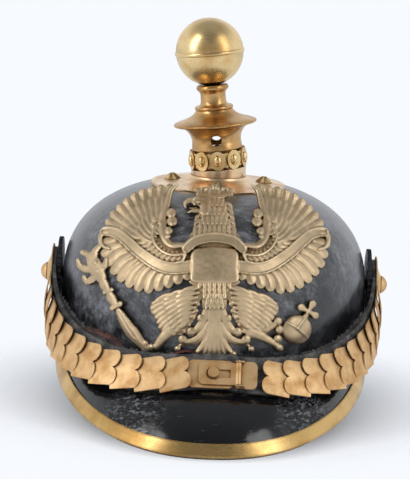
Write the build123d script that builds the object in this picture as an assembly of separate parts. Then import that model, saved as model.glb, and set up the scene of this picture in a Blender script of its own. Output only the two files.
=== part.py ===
from build123d import *
import math
import os

# Ball-topped leather dress helmet, millimetres, +Z up, front towards -Y.
# The origin is the centre of the skull's rim plane, where the head goes in.

# Shared clearances
seat_gap = 0.05
piece_gap = 0.3
running_clearance = 0.05
cut_overrun = 2.0

# Skull: boiled leather dome, an oval in plan
skull_half_width = 95.0
skull_half_length = 112.0
skull_height = 106.0
skull_widest_height = 38.0
skull_rim_draw_in = 2.0
skull_wall = 3.0
dome_roundness_share = 2.5
dome_angle_shares = [0, 0.14, 0.28, 0.42, 0.56, 0.7, 0.83, 0.93, 1]
crown_vent_radius = 7.0

# Visors: patent leather sheets bowed between the rim and a flat curve
visor_thickness = 2.6
visor_lap = 1.2
visor_root_height = 4.0
visor_crest_height = 2.5
visor_end_angle = 85.0
visor_station_count = 15
front_edge_half_width = 96.0
front_edge_reach = 163.0
front_edge_drop = 28.0
front_crest_reach = 146.0
front_squareness_share = 2.2
rear_edge_half_width = 97.5
rear_edge_reach = 150.0
rear_edge_drop = 30.0
rear_crest_reach = 136.0
rear_squareness_share = 2.0
visor_bow_shares = [0, 0.25, 0.5, 0.75, 1]

# Trim: brass strip folded over the front visor's edge
trim_thickness = 0.7
trim_fold_width = 6.5
trim_reach_share = 0.7
trim_play = 0.3
trim_stud_radius = 3.0
trim_stud_height = 2.2
trim_stud_angle = 83.0

# Rear spine: brass strip from the base plate down the back
spine_width = 11.0
spine_thickness = 1.0
spine_foot_height = 6.0
spine_rib_width = 4.0
spine_rib_rise = 0.8
spine_stud_radius = 3.2
spine_stud_height = 1.6
spine_stud_level = 14.0

# Base plate: round copper-toned plate on the crown
plate_radius = 41.5
plate_thickness = 0.9
plate_boss_foot_radius = 22.6
plate_boss_radius = 18.2
plate_boss_rise = 3.4
plate_slope_share = 0.35

# Star studs that hold the base plate
star_pitch_radius = 28.5
star_count = 4
star_point_count = 6
star_outer_radius = 5.4
star_inner_share = 0.56
star_top_share = 0.3
star_height = 3.6
star_post_radius = 1.5
star_post_length = 9.0
washer_radius = 5.0
washer_thickness = 1.0

# Neck: collar, pearl ring and vented flare, leaning to the wearer's right
neck_lean = 6.8
collar_radius = 17.0
collar_height = 4.8
neck_wall = 0.9
pearl_ring_radius = 16.6
pearl_ring_height = 12.0
pearl_band_share = 0.74
pearl_count = 10
pearl_boss_half_width = 4.9
pearl_boss_rise = 0.7
pearl_half_width = 2.4
pearl_half_height = 3.4
pearl_rise = 1.9
flare_foot_radius = 15.6
flare_waist_radius = 15.2
flare_top_radius = 20.4
flare_height = 14.2
vent_radius = 3.4
vent_level_share = 0.44
vent_count = 2
boss_radius = 6.2
boss_depth = 6.0

# Ball finial, screwed into the neck
finial_washer_radius = 9.0
finial_washer_thickness = 0.8
flange_radius = 25.8
flange_rim_height = 1.9
flange_rise = 9.4
flange_sheet = 0.8
stem_foot_radius = 11.4
stem_foot_height = 2.2
stem_waist_radius = 7.8
stem_top_radius = 9.2
stem_top_height = 3.2
stem_height = 15.2
ball_radius = 21.0
ball_wall = 0.9
seam_rise = 0.7
seam_height = 2.4
shank_radius = 3.0
shank_head_radius = 5.4
shank_head_height = 2.5
thread_engagement = 4.0

# Strap bosses: cockade, rosette and post on each side
boss_level = 44.0
cockade_radius = 22.0
cockade_bore_radius = 4.0
cockade_thickness = 2.6
cockade_tooth_count = 36
cockade_tooth_depth = 1.3
cockade_hub_radius = 13.0
cockade_hub_rise = 0.5
rosette_radius = 17.5
rosette_thickness = 1.4
rosette_knob_radius = 9.5
rosette_knob_rise = 2.4
post_radius = 3.0
post_head_radius = 5.6
post_head_rise = 3.8
post_nut_radius = 6.4
post_nut_thickness = 3.4

# Strap: the two hooked halves lie as one band in a plane through the posts
strap_drop_angle = 15.0
strap_reach = 130.0
strap_squareness_share = 2.6
strap_search_step = 0.1
strap_sag = 8.0
strap_sag_power_share = 1.2
strap_front_lie = 53.0
strap_lie_power_share = 2.2
strap_leather = 2.0
strap_front_band = 22.0
strap_side_band = 28.0
strap_leather_shift = 2.5
strap_ring_radius = 15.5
strap_station_count = 13
strap_overlap_length = 16.0
strap_root_distance = 14.0
scale_sheet = 0.8
scale_overlap = 5.0
scale_count = 11
scale_front_width = 19.5
scale_side_width = 26.0
scale_skew = 10.0
scale_crown_share = 0.055
scale_lobe_depth = 4.2
scale_layer_gap = 0.35
scale_bed_gap = 1.25

# Hook: end plates, stud and keyhole tongue at the front
end_plate_length = 27.0
end_plate_width = 17.5
plate_corner_share = 0.2
end_plate_sheet = 0.8
hook_stud_offset = 1.5
hook_stud_radius = 2.0
hook_head_radius = 3.2
hook_stud_height = 3.0
hook_head_height = 1.2
tongue_length = 23.0
tongue_width = 14.0
tongue_sheet = 1.0
tongue_keyhole_radius = 4.2
tongue_slot_width = 5.2
tongue_slot_length = 5.0
tongue_pin_radius = 0.9
tongue_barrel_radius = 1.7
tongue_tip_margin = 4.3
right_plate_length = 9.0

# Eagle: pressed brass plate, its axes leaning with the dome
eagle_lean = 10.0
eagle_centre_level = 84.0
eagle_gap = 0.4
eagle_low_relief = 1.4
eagle_mid_relief = 2.3
eagle_high_relief = 3.2
eagle_press_depth = 60.0
eagle_crown_gap = 0.3
eagle_half_span = 65.0
eagle_turn = 2.2
eagle_offset = 0.7
eagle_post_radius = 1.5
eagle_post_spread = 22.0
eagle_post_level = 52.0
eagle_post_reach = 7.0
eagle_nut_radius = 4.0
eagle_nut_thickness = 2.5
eagle_nut_seat_share = 1.3

# Lining: sweatband with tongues that rise inside the dome
band_height = 32.0
band_thickness = 1.6
band_top_draw_in = 3.5
band_foot_level = 1.5
liner_tongue_count = 10
liner_tongue_sheet = 1.2
liner_tongue_clearance = 7.0
liner_tip_drop = 8.0
liner_tongue_root_width = 46.0
liner_tongue_tip_width = 14.0


def ellipse_reach(half_width, half_length, angle, squareness=2):
    """Distance from the centre of an oval to its edge, angle from the front."""
    across = abs(math.sin(angle)) / half_width
    along = abs(math.cos(angle)) / half_length
    return 1 / (across**squareness + along**squareness) ** (1 / squareness)


def dome_reach(level, grow=0.0):
    """Half width of the dome, grown outwards, at a level above the rim."""
    wide = skull_half_width + grow
    if level < skull_widest_height:
        below = (skull_widest_height - level) / skull_widest_height
        return wide - skull_rim_draw_in * below**2
    above = (level - skull_widest_height) / (skull_height + grow - skull_widest_height)
    return wide * max(0.0, 1 - above**dome_roundness_share) ** (1 / dome_roundness_share)


def dome_level(x, y, grow=0.0):
    """Level of the dome's top surface over a point in plan."""
    wide = skull_half_width + grow
    long = skull_half_length + grow
    share = math.hypot(x / wide, y / long)
    rise = skull_height + grow - skull_widest_height
    power = dome_roundness_share
    return skull_widest_height + rise * max(0.0, 1 - share**power) ** (1 / power)


def dome_front(x, level, grow=0.0):
    """Distance forward of the dome's surface at a point of the front view."""
    reach = dome_reach(level, grow)
    oval = (skull_half_length + grow) / (skull_half_width + grow)
    return oval * math.sqrt(max(0.0, reach**2 - x**2))


def dome_solid(grow=0.0, foot=0.0):
    """Solid dome with its surface moved outwards by grow, from foot upwards."""
    height = skull_height + grow
    rise = height - skull_widest_height
    wide = skull_half_width + grow
    points = [(dome_reach(0, grow), 0)]
    points.append((dome_reach(skull_widest_height / 2, grow), skull_widest_height / 2))
    for share in dome_angle_shares:
        angle = share * math.pi / 2
        power = 2 / dome_roundness_share
        points.append((wide * math.cos(angle) ** power, skull_widest_height + rise * math.sin(angle) ** power))
    points[-1] = (0, height)
    side = [(x, 0, z) for x, z in points]
    wall = Spline(*side, tangents=[(skull_rim_draw_in, 0, skull_widest_height / 2), (-1, 0, 0)])
    start = side[0]
    base = Polyline((0, 0, height), (0, 0, foot), (start[0], 0, foot), start) if foot else Polyline(
        (0, 0, height), (0, 0, 0), start
    )
    dome = revolve(make_face(wall + base), Axis.Z)
    oval = (skull_half_length + grow) / wide
    return scale(dome, by=(1, oval, 1))


def skull_holes():
    """Everything that is drilled through the skull, as one tool."""
    holes = Pos(0, 0, skull_height) * Cylinder(crown_vent_radius, skull_height / 2)
    for place in star_places():
        holes += place * Cylinder(star_post_radius + piece_gap, 2 * star_post_length)
    for side in (-1, 1):
        at = Pos(side * skull_half_width, 0, boss_level) * Rot(0, 90, 0)
        holes += at * Cylinder(post_radius + piece_gap, 2 * post_nut_radius)
    for place in eagle_post_places():
        holes += place * Cylinder(eagle_post_radius + piece_gap, 4 * eagle_post_reach)
    return holes


def skull_shell():
    """Leather dome of even wall with its vent and fixing holes."""
    outer = dome_solid()
    inner = dome_solid(-skull_wall, foot=-cut_overrun)
    return outer - inner - skull_holes()


def visor_curve(angle, sizes):
    """Bowed line of a visor in the upright plane at an angle: points (reach, level)."""
    half_width, reach, drop, crest, squareness = sizes
    rim = dome_reach(visor_root_height) + piece_gap
    oval = skull_half_length / skull_half_width
    root_reach = ellipse_reach(rim, rim * oval, angle)
    edge_reach = ellipse_reach(half_width, reach, angle, squareness)
    crest_reach = ellipse_reach(half_width - visor_lap, crest, angle)
    ahead = max(0.0, math.cos(angle))
    root = (root_reach, visor_root_height * ahead)
    bow = (crest_reach, visor_crest_height * ahead)
    edge = (edge_reach, -drop * edge_reach * ahead / reach)
    return root, bow, edge


def bow_point(curve, share):
    """Point and direction at a share of the way along a three-point bow."""
    root, bow, edge = [Vector(x, z) for x, z in curve]
    point = root * (1 - share) ** 2 + bow * (2 * share * (1 - share)) + edge * share**2
    along = (bow - root) * (1 - share) + (edge - bow) * share
    return point, along.normalized()


def lift(point, angle, forward):
    """Takes a point (reach, level) of an upright plane to its place in space."""
    return (point.X * math.sin(angle), forward * point.X * math.cos(angle), point.Y)


def visor_section(angle, sizes, forward):
    """Closed outline of the visor's leather in one upright plane."""
    curve = visor_curve(angle, sizes)
    top = []
    under = []
    for share in visor_bow_shares:
        point, along = bow_point(curve, share)
        down = Vector(along.Y, -along.X)
        top.append(lift(point, angle, forward))
        under.append(lift(point + down * visor_thickness, angle, forward))
    edges = [
        Spline(*top),
        Line(top[-1], under[-1]),
        Spline(*reversed(under)),
        Line(under[0], top[0]),
    ]
    return Wire([piece.edge() for piece in edges])


def visor_angles():
    """Stations of a visor, from one side to the other."""
    last = visor_station_count - 1
    return [math.radians(visor_end_angle) * (2 * i / last - 1) for i in range(visor_station_count)]


def visor(sizes, forward):
    """Leather visor, forward is -1 at the front and 1 at the rear."""
    return Solid.make_loft([visor_section(a, sizes, forward) for a in visor_angles()])


def front_sizes():
    return front_edge_half_width, front_edge_reach, front_edge_drop, front_crest_reach, front_squareness_share


def rear_sizes():
    return rear_edge_half_width, rear_edge_reach, rear_edge_drop, rear_crest_reach, rear_squareness_share


def trim_section(angle, sizes, forward):
    """Outline of the folded strip round the visor's edge in one upright plane."""
    curve = visor_curve(angle, sizes)
    root, bow, edge = [Vector(x, z) for x, z in curve]
    run = (edge - root).length
    fold = min(trim_fold_width, run * trim_reach_share) / run
    back, middle = 1 - fold, 1 - fold / 2
    half = visor_thickness / 2 + trim_play
    inner = []
    outer = []
    for share, side in ((back, 1), (middle, 1), (1, 1), (1, -1), (middle, -1), (back, -1)):
        point, along = bow_point(curve, share)
        down = Vector(along.Y, -along.X)
        near = point + down * (visor_thickness / 2 - side * half)
        far = near - down * (side * trim_thickness)
        if share == 1:
            near += along * trim_play
            far += along * (trim_play + trim_thickness)
        inner.append(lift(near, angle, forward))
        outer.append(lift(far, angle, forward))
    return Wire.make_polygon(outer + list(reversed(inner)), close=True)


def front_visor_trim():
    """Brass strip folded over the whole of the front visor's edge."""
    return Solid.make_loft([trim_section(a, front_sizes(), -1) for a in visor_angles()])


def trim_end_studs():
    """Small round-headed studs that pin the two ends of the trim."""
    studs = []
    for side in (-1, 1):
        angle = side * math.radians(trim_stud_angle)
        edge = visor_curve(angle, front_sizes())[2]
        reach = edge[0] + trim_play + trim_thickness + 2 * piece_gap
        at = (reach * math.sin(angle), -reach * math.cos(angle), edge[1] - visor_thickness / 2)
        outward = (math.sin(angle), -math.cos(angle), 0)
        studs.append(Plane(origin=at, z_dir=outward) * button(trim_stud_radius, trim_stud_height))
    return Compound(children=studs)


def button(radius, height):
    """Domed button standing on a plane, a slice of a sphere."""
    full = (radius**2 + height**2) / (2 * height)
    cap = Pos(0, 0, height - full) * Sphere(full)
    return cap & (Pos(0, 0, height) * Cylinder(radius, 2 * height))


def rear_spine():
    """Ribbed strip down the back, pressed to the dome, with its foot stud's seat."""
    shell = dome_solid(seat_gap + spine_thickness) - dome_solid(seat_gap)
    rib = dome_solid(seat_gap + spine_thickness + spine_rib_rise) - dome_solid(seat_gap)
    length = skull_half_length
    start = plate_radius + piece_gap
    strip = Pos(0, start + length / 2, spine_foot_height + skull_height / 2)
    spine = shell & (strip * Box(spine_width, length, skull_height))
    spine += rib & (strip * Box(spine_rib_width, length, skull_height))
    return spine


def spine_stud():
    """Round-headed stud at the foot of the rear spine."""
    oval = skull_half_length / skull_half_width
    reach = dome_reach(spine_stud_level) * oval + seat_gap + spine_thickness + spine_rib_rise
    at = Plane(origin=(0, reach + piece_gap, spine_stud_level), z_dir=(0, 1, 0))
    return at * button(spine_stud_radius, spine_stud_height)


def plate_rim_level():
    return dome_level(0, plate_radius) + plate_thickness


def plate_foot_level():
    return dome_level(0, plate_boss_foot_radius) + plate_thickness


def base_plate():
    """Copper-toned plate that lies on the crown and rises to the collar's seat."""
    rim = plate_rim_level()
    foot = plate_foot_level()
    top = skull_height + plate_boss_rise
    deep = dome_level(plate_radius, 0) - cut_overrun
    hole = crown_vent_radius
    fall = (foot - rim) / (plate_radius - plate_boss_foot_radius)
    slope_top = (plate_boss_foot_radius, 0, foot)
    outline = Polyline((hole, 0, top), (hole, 0, deep), (plate_radius, 0, deep), (plate_radius, 0, rim), slope_top)
    directions = [(-1, 0, fall), (-plate_slope_share, 0, 1)]
    outline += Spline(slope_top, (plate_boss_radius, 0, top), tangents=directions)
    outline += Line((plate_boss_radius, 0, top), (hole, 0, top))
    plate = revolve(make_face(outline), Axis.Z) - dome_solid(seat_gap)
    for place in star_places():
        plate -= place * Cylinder(star_post_radius + piece_gap, 2 * star_post_length)
    return plate


def star_places():
    """Places of the star studs, on the plate and square to it."""
    fall = (plate_foot_level() - plate_rim_level()) / (plate_radius - plate_boss_foot_radius)
    level = plate_rim_level() + fall * (plate_radius - star_pitch_radius)
    places = []
    for i in range(star_count):
        angle = 2 * math.pi * i / star_count
        out = Vector(math.cos(angle), math.sin(angle), 0)
        plane = Plane(origin=out * star_pitch_radius + Vector(0, 0, level), z_dir=Vector(0, 0, 1) + out * fall)
        places.append(plane.location)
    return places


def star_outline(outer):
    """Star with straight-sided points."""
    points = []
    for i in range(2 * star_point_count):
        angle = math.pi * i / star_point_count
        reach = outer if i % 2 == 0 else outer * star_inner_share
        points.append((reach * math.cos(angle), reach * math.sin(angle)))
    return make_face(Polyline(*points, close=True))


def base_plate_studs():
    """Star-headed studs with their posts through plate and skull."""
    studs = []
    for place in star_places():
        low = Pos(0, 0, seat_gap) * star_outline(star_outer_radius)
        high = Pos(0, 0, seat_gap + star_height) * star_outline(star_outer_radius * star_top_share)
        head = loft([low, high], ruled=True)
        post = Pos(0, 0, seat_gap - star_post_length / 2) * Cylinder(star_post_radius, star_post_length)
        studs.append(place * (head + post))
    return Compound(children=studs)


def plate_depth_at_stars():
    """Greatest height of the plate's top over the dome, under the star studs."""
    level = star_places()[0].position.Z
    return level - dome_level(star_pitch_radius + washer_radius, 0)


def stud_washers():
    """Round washers under the spread ends of the stud posts, inside the crown."""
    washers = []
    depth = plate_depth_at_stars() + skull_wall + piece_gap + washer_thickness
    for place in star_places():
        ring = Cylinder(washer_radius, washer_thickness)
        ring -= Cylinder(star_post_radius + seat_gap, 2 * washer_thickness)
        washers.append(place * Pos(0, 0, -depth) * ring)
    return Compound(children=washers)


def neck_frame():
    """Frame of the leaning neck, its origin at the middle of the collar's top."""
    level = skull_height + plate_boss_rise + collar_height
    return Location((0, 0, level), (0, -neck_lean, 0))


def neck_collar():
    """Plain band cut square below and on the slant above, which gives the neck its lean."""
    foot = skull_height + plate_boss_rise + seat_gap
    tall = 2 * collar_height
    band = Cylinder(collar_radius, tall) - Cylinder(collar_radius - neck_wall, 2 * tall)
    band = Pos(0, 0, foot + tall / 2) * band
    wide = 3 * collar_radius
    keep = neck_frame() * Pos(0, 0, -wide / 2 - seat_gap) * Box(wide, wide, wide)
    return band & keep


def pearl_ring():
    """Band with scalloped edges and a row of oval pearls."""
    height = pearl_ring_height
    band_height_here = height * pearl_band_share
    ring = Pos(0, 0, height / 2) * Cylinder(pearl_ring_radius, band_height_here)
    turn = 360 / pearl_count
    reach = pearl_ring_radius + pearl_boss_rise
    boss = extrude(Ellipse(pearl_boss_half_width, height / 2), reach)
    bead = scale(Sphere(pearl_rise), by=(1, pearl_half_width / pearl_rise, pearl_half_height / pearl_rise))
    lying = Plane(origin=(0, 0, height / 2), x_dir=(0, 1, 0), z_dir=(1, 0, 0))
    for i in range(pearl_count):
        facing = Rot(0, 0, turn * i - 90)
        ring += facing * (lying * boss)
        ring += facing * Pos(reach, 0, height / 2) * bead
    inner = pearl_ring_radius - neck_wall
    ring -= Pos(0, 0, height / 2) * Cylinder(inner, 2 * height)
    return neck_frame() * ring


def flare_foot():
    """Level of the flare's foot above the collar's top."""
    return pearl_ring_height + seat_gap


def flare_top():
    return flare_foot() + flare_height


def neck_flare():
    """Vented trumpet with a top plate and the threaded boss under it."""
    foot = flare_foot()
    top = flare_top()
    middle = foot + flare_height * flare_waist_share
    outer = Spline(
        (flare_foot_radius, 0, foot),
        (flare_waist_radius, 0, middle),
        (flare_top_radius, 0, top),
        tangents=[(0, 0, 1), (1, 0, flare_mouth_slope_share)],
    )
    inner = Spline(
        (flare_foot_radius - neck_wall, 0, foot),
        (flare_waist_radius - neck_wall, 0, middle),
        (flare_top_radius - 2 * neck_wall, 0, top - neck_wall),
        tangents=[(0, 0, 1), (1, 0, flare_mouth_slope_share)],
    )
    boss_foot = top - boss_depth
    rest = Polyline(
        (flare_top_radius - 2 * neck_wall, 0, top - neck_wall),
        (boss_radius, 0, top - neck_wall),
        (boss_radius, 0, boss_foot),
        (shank_radius + running_clearance, 0, boss_foot),
        (shank_radius + running_clearance, 0, top),
        (flare_top_radius, 0, top),
    )
    foot_line = Line((flare_foot_radius, 0, foot), (flare_foot_radius - neck_wall, 0, foot))
    flare = revolve(make_face(outer + foot_line + inner + rest), Axis.Z)
    level = foot + flare_height * vent_level_share
    for i in range(vent_count):
        facing = Rot(0, 0, 360 * i / vent_count - 90)
        drill = Pos(flare_waist_radius, 0, level) * Rot(0, 90, 0) * Cylinder(vent_radius, flare_waist_radius)
        flare -= facing * drill
    return neck_frame() * flare


flare_waist_share = 0.38
flare_mouth_slope_share = 0.7


def finial_foot():
    """Level of the flange's underside above the collar's top."""
    return flare_top() + finial_washer_thickness + 2 * seat_gap


def finial_washer():
    """Fibre washer between the neck and the ball's flange."""
    ring = Cylinder(finial_washer_radius, finial_washer_thickness)
    ring -= Cylinder(shank_radius + piece_gap, 2 * finial_washer_thickness)
    return neck_frame() * Pos(0, 0, flare_top() + seat_gap + finial_washer_thickness / 2) * ring


def finial_flange():
    """Saucer of sheet brass: flat below, rolled rim, hollow cone above."""
    foot = finial_foot()
    sheet = flange_sheet
    rim_low = (flange_radius - flange_rim_height / 2, 0, foot)
    rim_mid = (flange_radius, 0, foot + flange_rim_height / 2)
    rim_high = (flange_radius - flange_rim_height / 2, 0, foot + flange_rim_height)
    shoulder = (stem_foot_radius, 0, foot + flange_rise)
    slope = (-1, 0, flange_sweep_share)
    steep = (-flange_sweep_share, 0, 1)
    inside_rim = (flange_radius - flange_rim_height, 0, foot + flange_rim_height - sheet)
    outline = ThreePointArc(rim_low, rim_mid, rim_high)
    outline += Spline(rim_high, shoulder, tangents=[slope, steep])
    outline += Line(shoulder, (stem_foot_radius - sheet, 0, foot + flange_rise))
    outline += Spline(
        (stem_foot_radius - sheet, 0, foot + flange_rise),
        inside_rim,
        tangents=[(flange_sweep_share, 0, -1), (1, 0, -flange_sweep_share)],
    )
    outline += Polyline(
        inside_rim,
        (flange_radius - flange_rim_height, 0, foot + sheet),
        (shank_radius + piece_gap, 0, foot + sheet),
        (shank_radius + piece_gap, 0, foot),
        rim_low,
    )
    return neck_frame() * revolve(make_face(outline), Axis.Z)


flange_sweep_share = 0.45


def stem_foot():
    return finial_foot() + flange_rise + seat_gap


def ball_stem():
    """Waisted stem with a ring at each end, bored for the shank."""
    foot = stem_foot()
    top = foot + stem_height
    bore = shank_radius + piece_gap
    low_ring = foot + stem_foot_height
    high_ring = top - stem_top_height
    waist = (low_ring + high_ring) / 2
    outline = Line((bore, 0, foot), (stem_foot_radius, 0, foot))
    outline += ThreePointArc(
        (stem_foot_radius, 0, foot),
        (stem_foot_radius + stem_foot_height / 4, 0, foot + stem_foot_height / 2),
        (stem_foot_radius, 0, low_ring),
    )
    outline += Spline(
        (stem_foot_radius, 0, low_ring),
        (stem_waist_radius, 0, waist),
        (stem_top_radius, 0, high_ring),
        tangents=[(-1, 0, 0), (1, 0, stem_neck_slope_share)],
    )
    outline += ThreePointArc(
        (stem_top_radius, 0, high_ring),
        (stem_top_radius + stem_top_height / 4, 0, high_ring + stem_top_height / 2),
        (stem_top_radius, 0, top),
    )
    outline += Polyline((stem_top_radius, 0, top), (bore, 0, top), (bore, 0, foot))
    return neck_frame() * revolve(make_face(outline), Axis.Z)


stem_neck_slope_share = 0.8


def ball_centre():
    """Level of the ball's centre: the stem's top ring cradles it."""
    sink = ball_radius - math.sqrt(ball_radius**2 - (stem_top_radius / 2) ** 2)
    return stem_foot() + stem_height + seat_gap + ball_radius - sink


def ball_half(side):
    """Half of the hollow ball, side is 1 for the upper and -1 for the lower one."""
    outer = Sphere(ball_radius) - Sphere(ball_radius - ball_wall)
    wide = 3 * ball_radius
    half = outer & (Pos(0, 0, side * (wide / 2 + seat_gap)) * Box(wide, wide, wide))
    if side < 0:
        flat = stem_foot() + stem_height + seat_gap - ball_centre()
        half &= Pos(0, 0, flat + wide / 2) * Box(wide, wide, wide)
        half -= Pos(0, 0, -ball_radius) * Cylinder(shank_radius + piece_gap, ball_radius)
    return neck_frame() * Pos(0, 0, ball_centre()) * half


def ball_seam():
    """Half-round bead over the seam of the ball."""
    half = seam_height / 2
    inner = math.sqrt(ball_radius**2 - half**2)
    outline = ThreePointArc(
        (ball_radius + seat_gap, 0, -half), (ball_radius + seam_rise, 0, 0), (ball_radius + seat_gap, 0, half)
    )
    outline += Polyline((ball_radius + seat_gap, 0, half), (inner, 0, half), (inner, 0, -half), (ball_radius + seat_gap, 0, -half))
    bead = revolve(make_face(outline), Axis.Z) - Sphere(ball_radius + seat_gap)
    return neck_frame() * Pos(0, 0, ball_centre()) * bead


def ball_shank():
    """Screw that runs from its head inside the ball down into the neck's boss."""
    top = stem_foot() + stem_height + seat_gap + ball_wall + piece_gap
    foot = flare_top() - thread_engagement
    shank = Pos(0, 0, (top + foot) / 2) * Cylinder(shank_radius, top - foot)
    head = Pos(0, 0, top + shank_head_height / 2) * Cylinder(shank_head_radius, shank_head_height)
    return neck_frame() * (shank + head)


def side_place(side):
    """Frame on the skull's side at the strap post, its Z outwards."""
    reach = dome_reach(boss_level)
    return Plane(origin=(side * reach, 0, boss_level), x_dir=(0, side, 0), z_dir=(side, 0, 0)).location


def cockade_foot():
    return piece_gap


def strap_seat():
    """Height of the strap's leather ring above the skull's side."""
    return cockade_foot() + cockade_thickness + cockade_hub_rise + piece_gap


def rosette_seat():
    return strap_seat() + strap_leather + piece_gap


def cockade(side):
    """Serrated leather-backed disc with a raised hub."""
    points = []
    for i in range(2 * cockade_tooth_count):
        angle = math.pi * i / cockade_tooth_count
        reach = cockade_radius - (cockade_tooth_depth if i % 2 else 0)
        points.append((reach * math.cos(angle), reach * math.sin(angle)))
    disc = extrude(make_face(Polyline(*points, close=True)), cockade_thickness)
    hub_height = cockade_thickness + cockade_hub_rise
    disc += Pos(0, 0, hub_height / 2) * Cylinder(cockade_hub_radius, hub_height)
    disc -= Cylinder(cockade_bore_radius, 4 * hub_height)
    return side_place(side) * Pos(0, 0, cockade_foot()) * disc


def rosette(side):
    """Round strap plate with a raised knob, running on the post."""
    height = rosette_thickness + rosette_knob_rise
    bore = post_radius + running_clearance
    outline = Polyline((bore, 0, 0), (rosette_radius, 0, 0), (rosette_radius, 0, rosette_thickness / 2))
    outline += Spline(
        (rosette_radius, 0, rosette_thickness / 2),
        (rosette_knob_radius, 0, rosette_thickness + rosette_knob_rise / 4),
        (post_head_radius, 0, height),
    )
    outline += Polyline((post_head_radius, 0, height), (bore, 0, height), (bore, 0, 0))
    plate = revolve(make_face(outline), Axis.Z)
    return side_place(side) * Pos(0, 0, rosette_seat()) * plate


def post_screw(side):
    """Round-headed post that carries cockade, strap and rosette."""
    top = rosette_seat() + rosette_thickness + rosette_knob_rise + piece_gap
    foot = -skull_wall - post_nut_thickness - 3 * piece_gap
    shank = Pos(0, 0, (top + foot) / 2) * Cylinder(post_radius, top - foot)
    head = Pos(0, 0, top) * button(post_head_radius, post_head_rise)
    return side_place(side) * (shank + head)


def post_nut(side):
    """Hexagon nut of the post, inside the skull."""
    nut = extrude(RegularPolygon(post_nut_radius, 6), post_nut_thickness)
    nut -= Cylinder(post_radius + running_clearance, 4 * post_nut_thickness)
    return side_place(side) * Pos(0, 0, -skull_wall - 2 * piece_gap - post_nut_thickness) * nut


def strap_reach_at(angle):
    """Distance of the strap's middle line from the helmet's axis, in the strap's plane."""
    power = strap_squareness_share
    half_width = dome_reach(boss_level) + strap_seat() + strap_leather / 2
    across = abs(math.sin(angle)) / half_width
    ahead = abs(math.cos(angle)) / strap_reach
    return (across**power + ahead**power) ** (-1 / power)


def strap_point(angle):
    """Point of the strap's middle line, sagging below its own plane, angle from the front."""
    reach = strap_reach_at(angle)
    slack = abs(math.sin(2 * angle)) ** strap_sag_power_share
    return Vector(reach * math.sin(angle), -reach * math.cos(angle), -strap_sag * slack)


def strap_angle_at(distance):
    """Angle of the point that lies a given length of strap from the front."""
    angle = 0.0
    gone = 0.0
    step = math.radians(strap_search_step)
    while gone < distance:
        gone += (strap_point(angle + step) - strap_point(angle)).length
        angle += step
    return angle


def strap_length():
    """Length of one half of the strap's middle line, from the front to the post."""
    angle = 0.0
    gone = 0.0
    step = math.radians(strap_search_step)
    while angle < math.pi / 2:
        gone += (strap_point(angle + step) - strap_point(angle)).length
        angle += step
    return gone


def strap_frame(angle):
    """Plane on the strap: X towards the front, Y across the band, Z outwards."""
    step = math.radians(strap_search_step)
    towards = (strap_point(angle - step) - strap_point(angle + step)).normalized()
    outward = towards.cross(Vector(0, 0, 1)).normalized()
    if outward.dot(strap_point(angle)) < 0:
        outward = outward * -1
    up = towards.cross(outward)
    if up.Z < 0:
        up = up * -1
    lie = math.radians(strap_front_lie) * max(0.0, math.cos(angle)) ** strap_lie_power_share
    normal = outward * math.cos(lie) + up * math.sin(lie)
    return Plane(origin=strap_point(angle), x_dir=towards, z_dir=normal)


def band_width(angle, front, side):
    """Width of the band, growing from the front to the side."""
    share = min(1.0, abs(angle) / (math.pi / 2))
    return front + (side - front) * share


def in_strap_plane(shape):
    """Turns a shape from the level strap plane to the drop at which the strap rests."""
    return Pos(0, 0, boss_level) * Rot(strap_drop_angle, 0, 0) * shape


def strap_section(distance):
    """Outline of the leather across the strap, at a distance from the front."""
    sign = -1 if distance < 0 else 1
    angle = sign * strap_angle_at(abs(distance))
    plane = strap_frame(angle)
    half = band_width(angle, strap_front_band, strap_side_band) / 2
    shift = strap_leather_shift * max(0.0, math.cos(angle))
    up = shift + half
    down = shift - half
    if plane.y_dir.Z < 0 and plane.y_dir.dot(plane.origin) > 0:
        up, down = -down, -up
    thick = strap_leather / 2
    corners = [(0, down, -thick), (0, up, -thick), (0, up, thick), (0, down, thick)]
    return Wire.make_polygon([plane.from_local_coords(c) for c in corners], close=True)


def strap_leather_half(side, start):
    """Leather lining of one half, from its ring on the post to its free end."""
    end = strap_length() - strap_root_distance
    last = strap_station_count - 1
    distances = [start + (end - start) * i / last for i in range(strap_station_count)]
    band = Solid.make_loft([strap_section(d) for d in distances])
    band = in_strap_plane(band)
    ring = Pos(0, 0, strap_seat()) * Cylinder(strap_ring_radius, strap_leather, align=bottom_aligned)
    ring = side_place(1) * ring
    half = band + ring
    half -= side_place(1) * Cylinder(post_radius + piece_gap, 8 * strap_leather)
    return half if side > 0 else mirror(half, about=Plane.YZ)


bottom_aligned = (Align.CENTER, Align.CENTER, Align.MIN)


def scale_plate(length, width):
    """One brass scale: arched across, its free end cut in two lobes."""
    body = Pos(-scale_lobe_depth / 2, 0) * Rectangle(length - scale_lobe_depth, width)
    for side in (-1, 1):
        lobe = Ellipse(scale_lobe_depth, width / 4)
        body += Pos(length / 2 - scale_lobe_depth, side * width / 4) * lobe
    rise = width * scale_crown_share
    arch = (width**2 / 4 + rise**2) / (2 * rise)
    tall = extrude(body, 2 * rise + 2 * scale_sheet)
    tall = Pos(0, 0, -scale_sheet) * tall
    shell = Cylinder(arch, 2 * length) - Cylinder(arch - scale_sheet, 3 * length)
    return tall & (Pos(0, 0, rise + scale_sheet - arch) * Rot(0, 90, 0) * shell)


def skew_reach(width):
    """How far a turned scale's corner goes past its straight end."""
    return width / 2 * math.sin(math.radians(scale_skew))


def scales_start(side):
    """Distance from the front at which the scales of one half begin."""
    if side < 0:
        return end_plate_length / 2
    plate_end = tongue_pin_offset() + tongue_barrel_radius + piece_gap + right_plate_length
    return plate_end + scale_overlap / 2 + skew_reach(scale_front_width)


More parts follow.
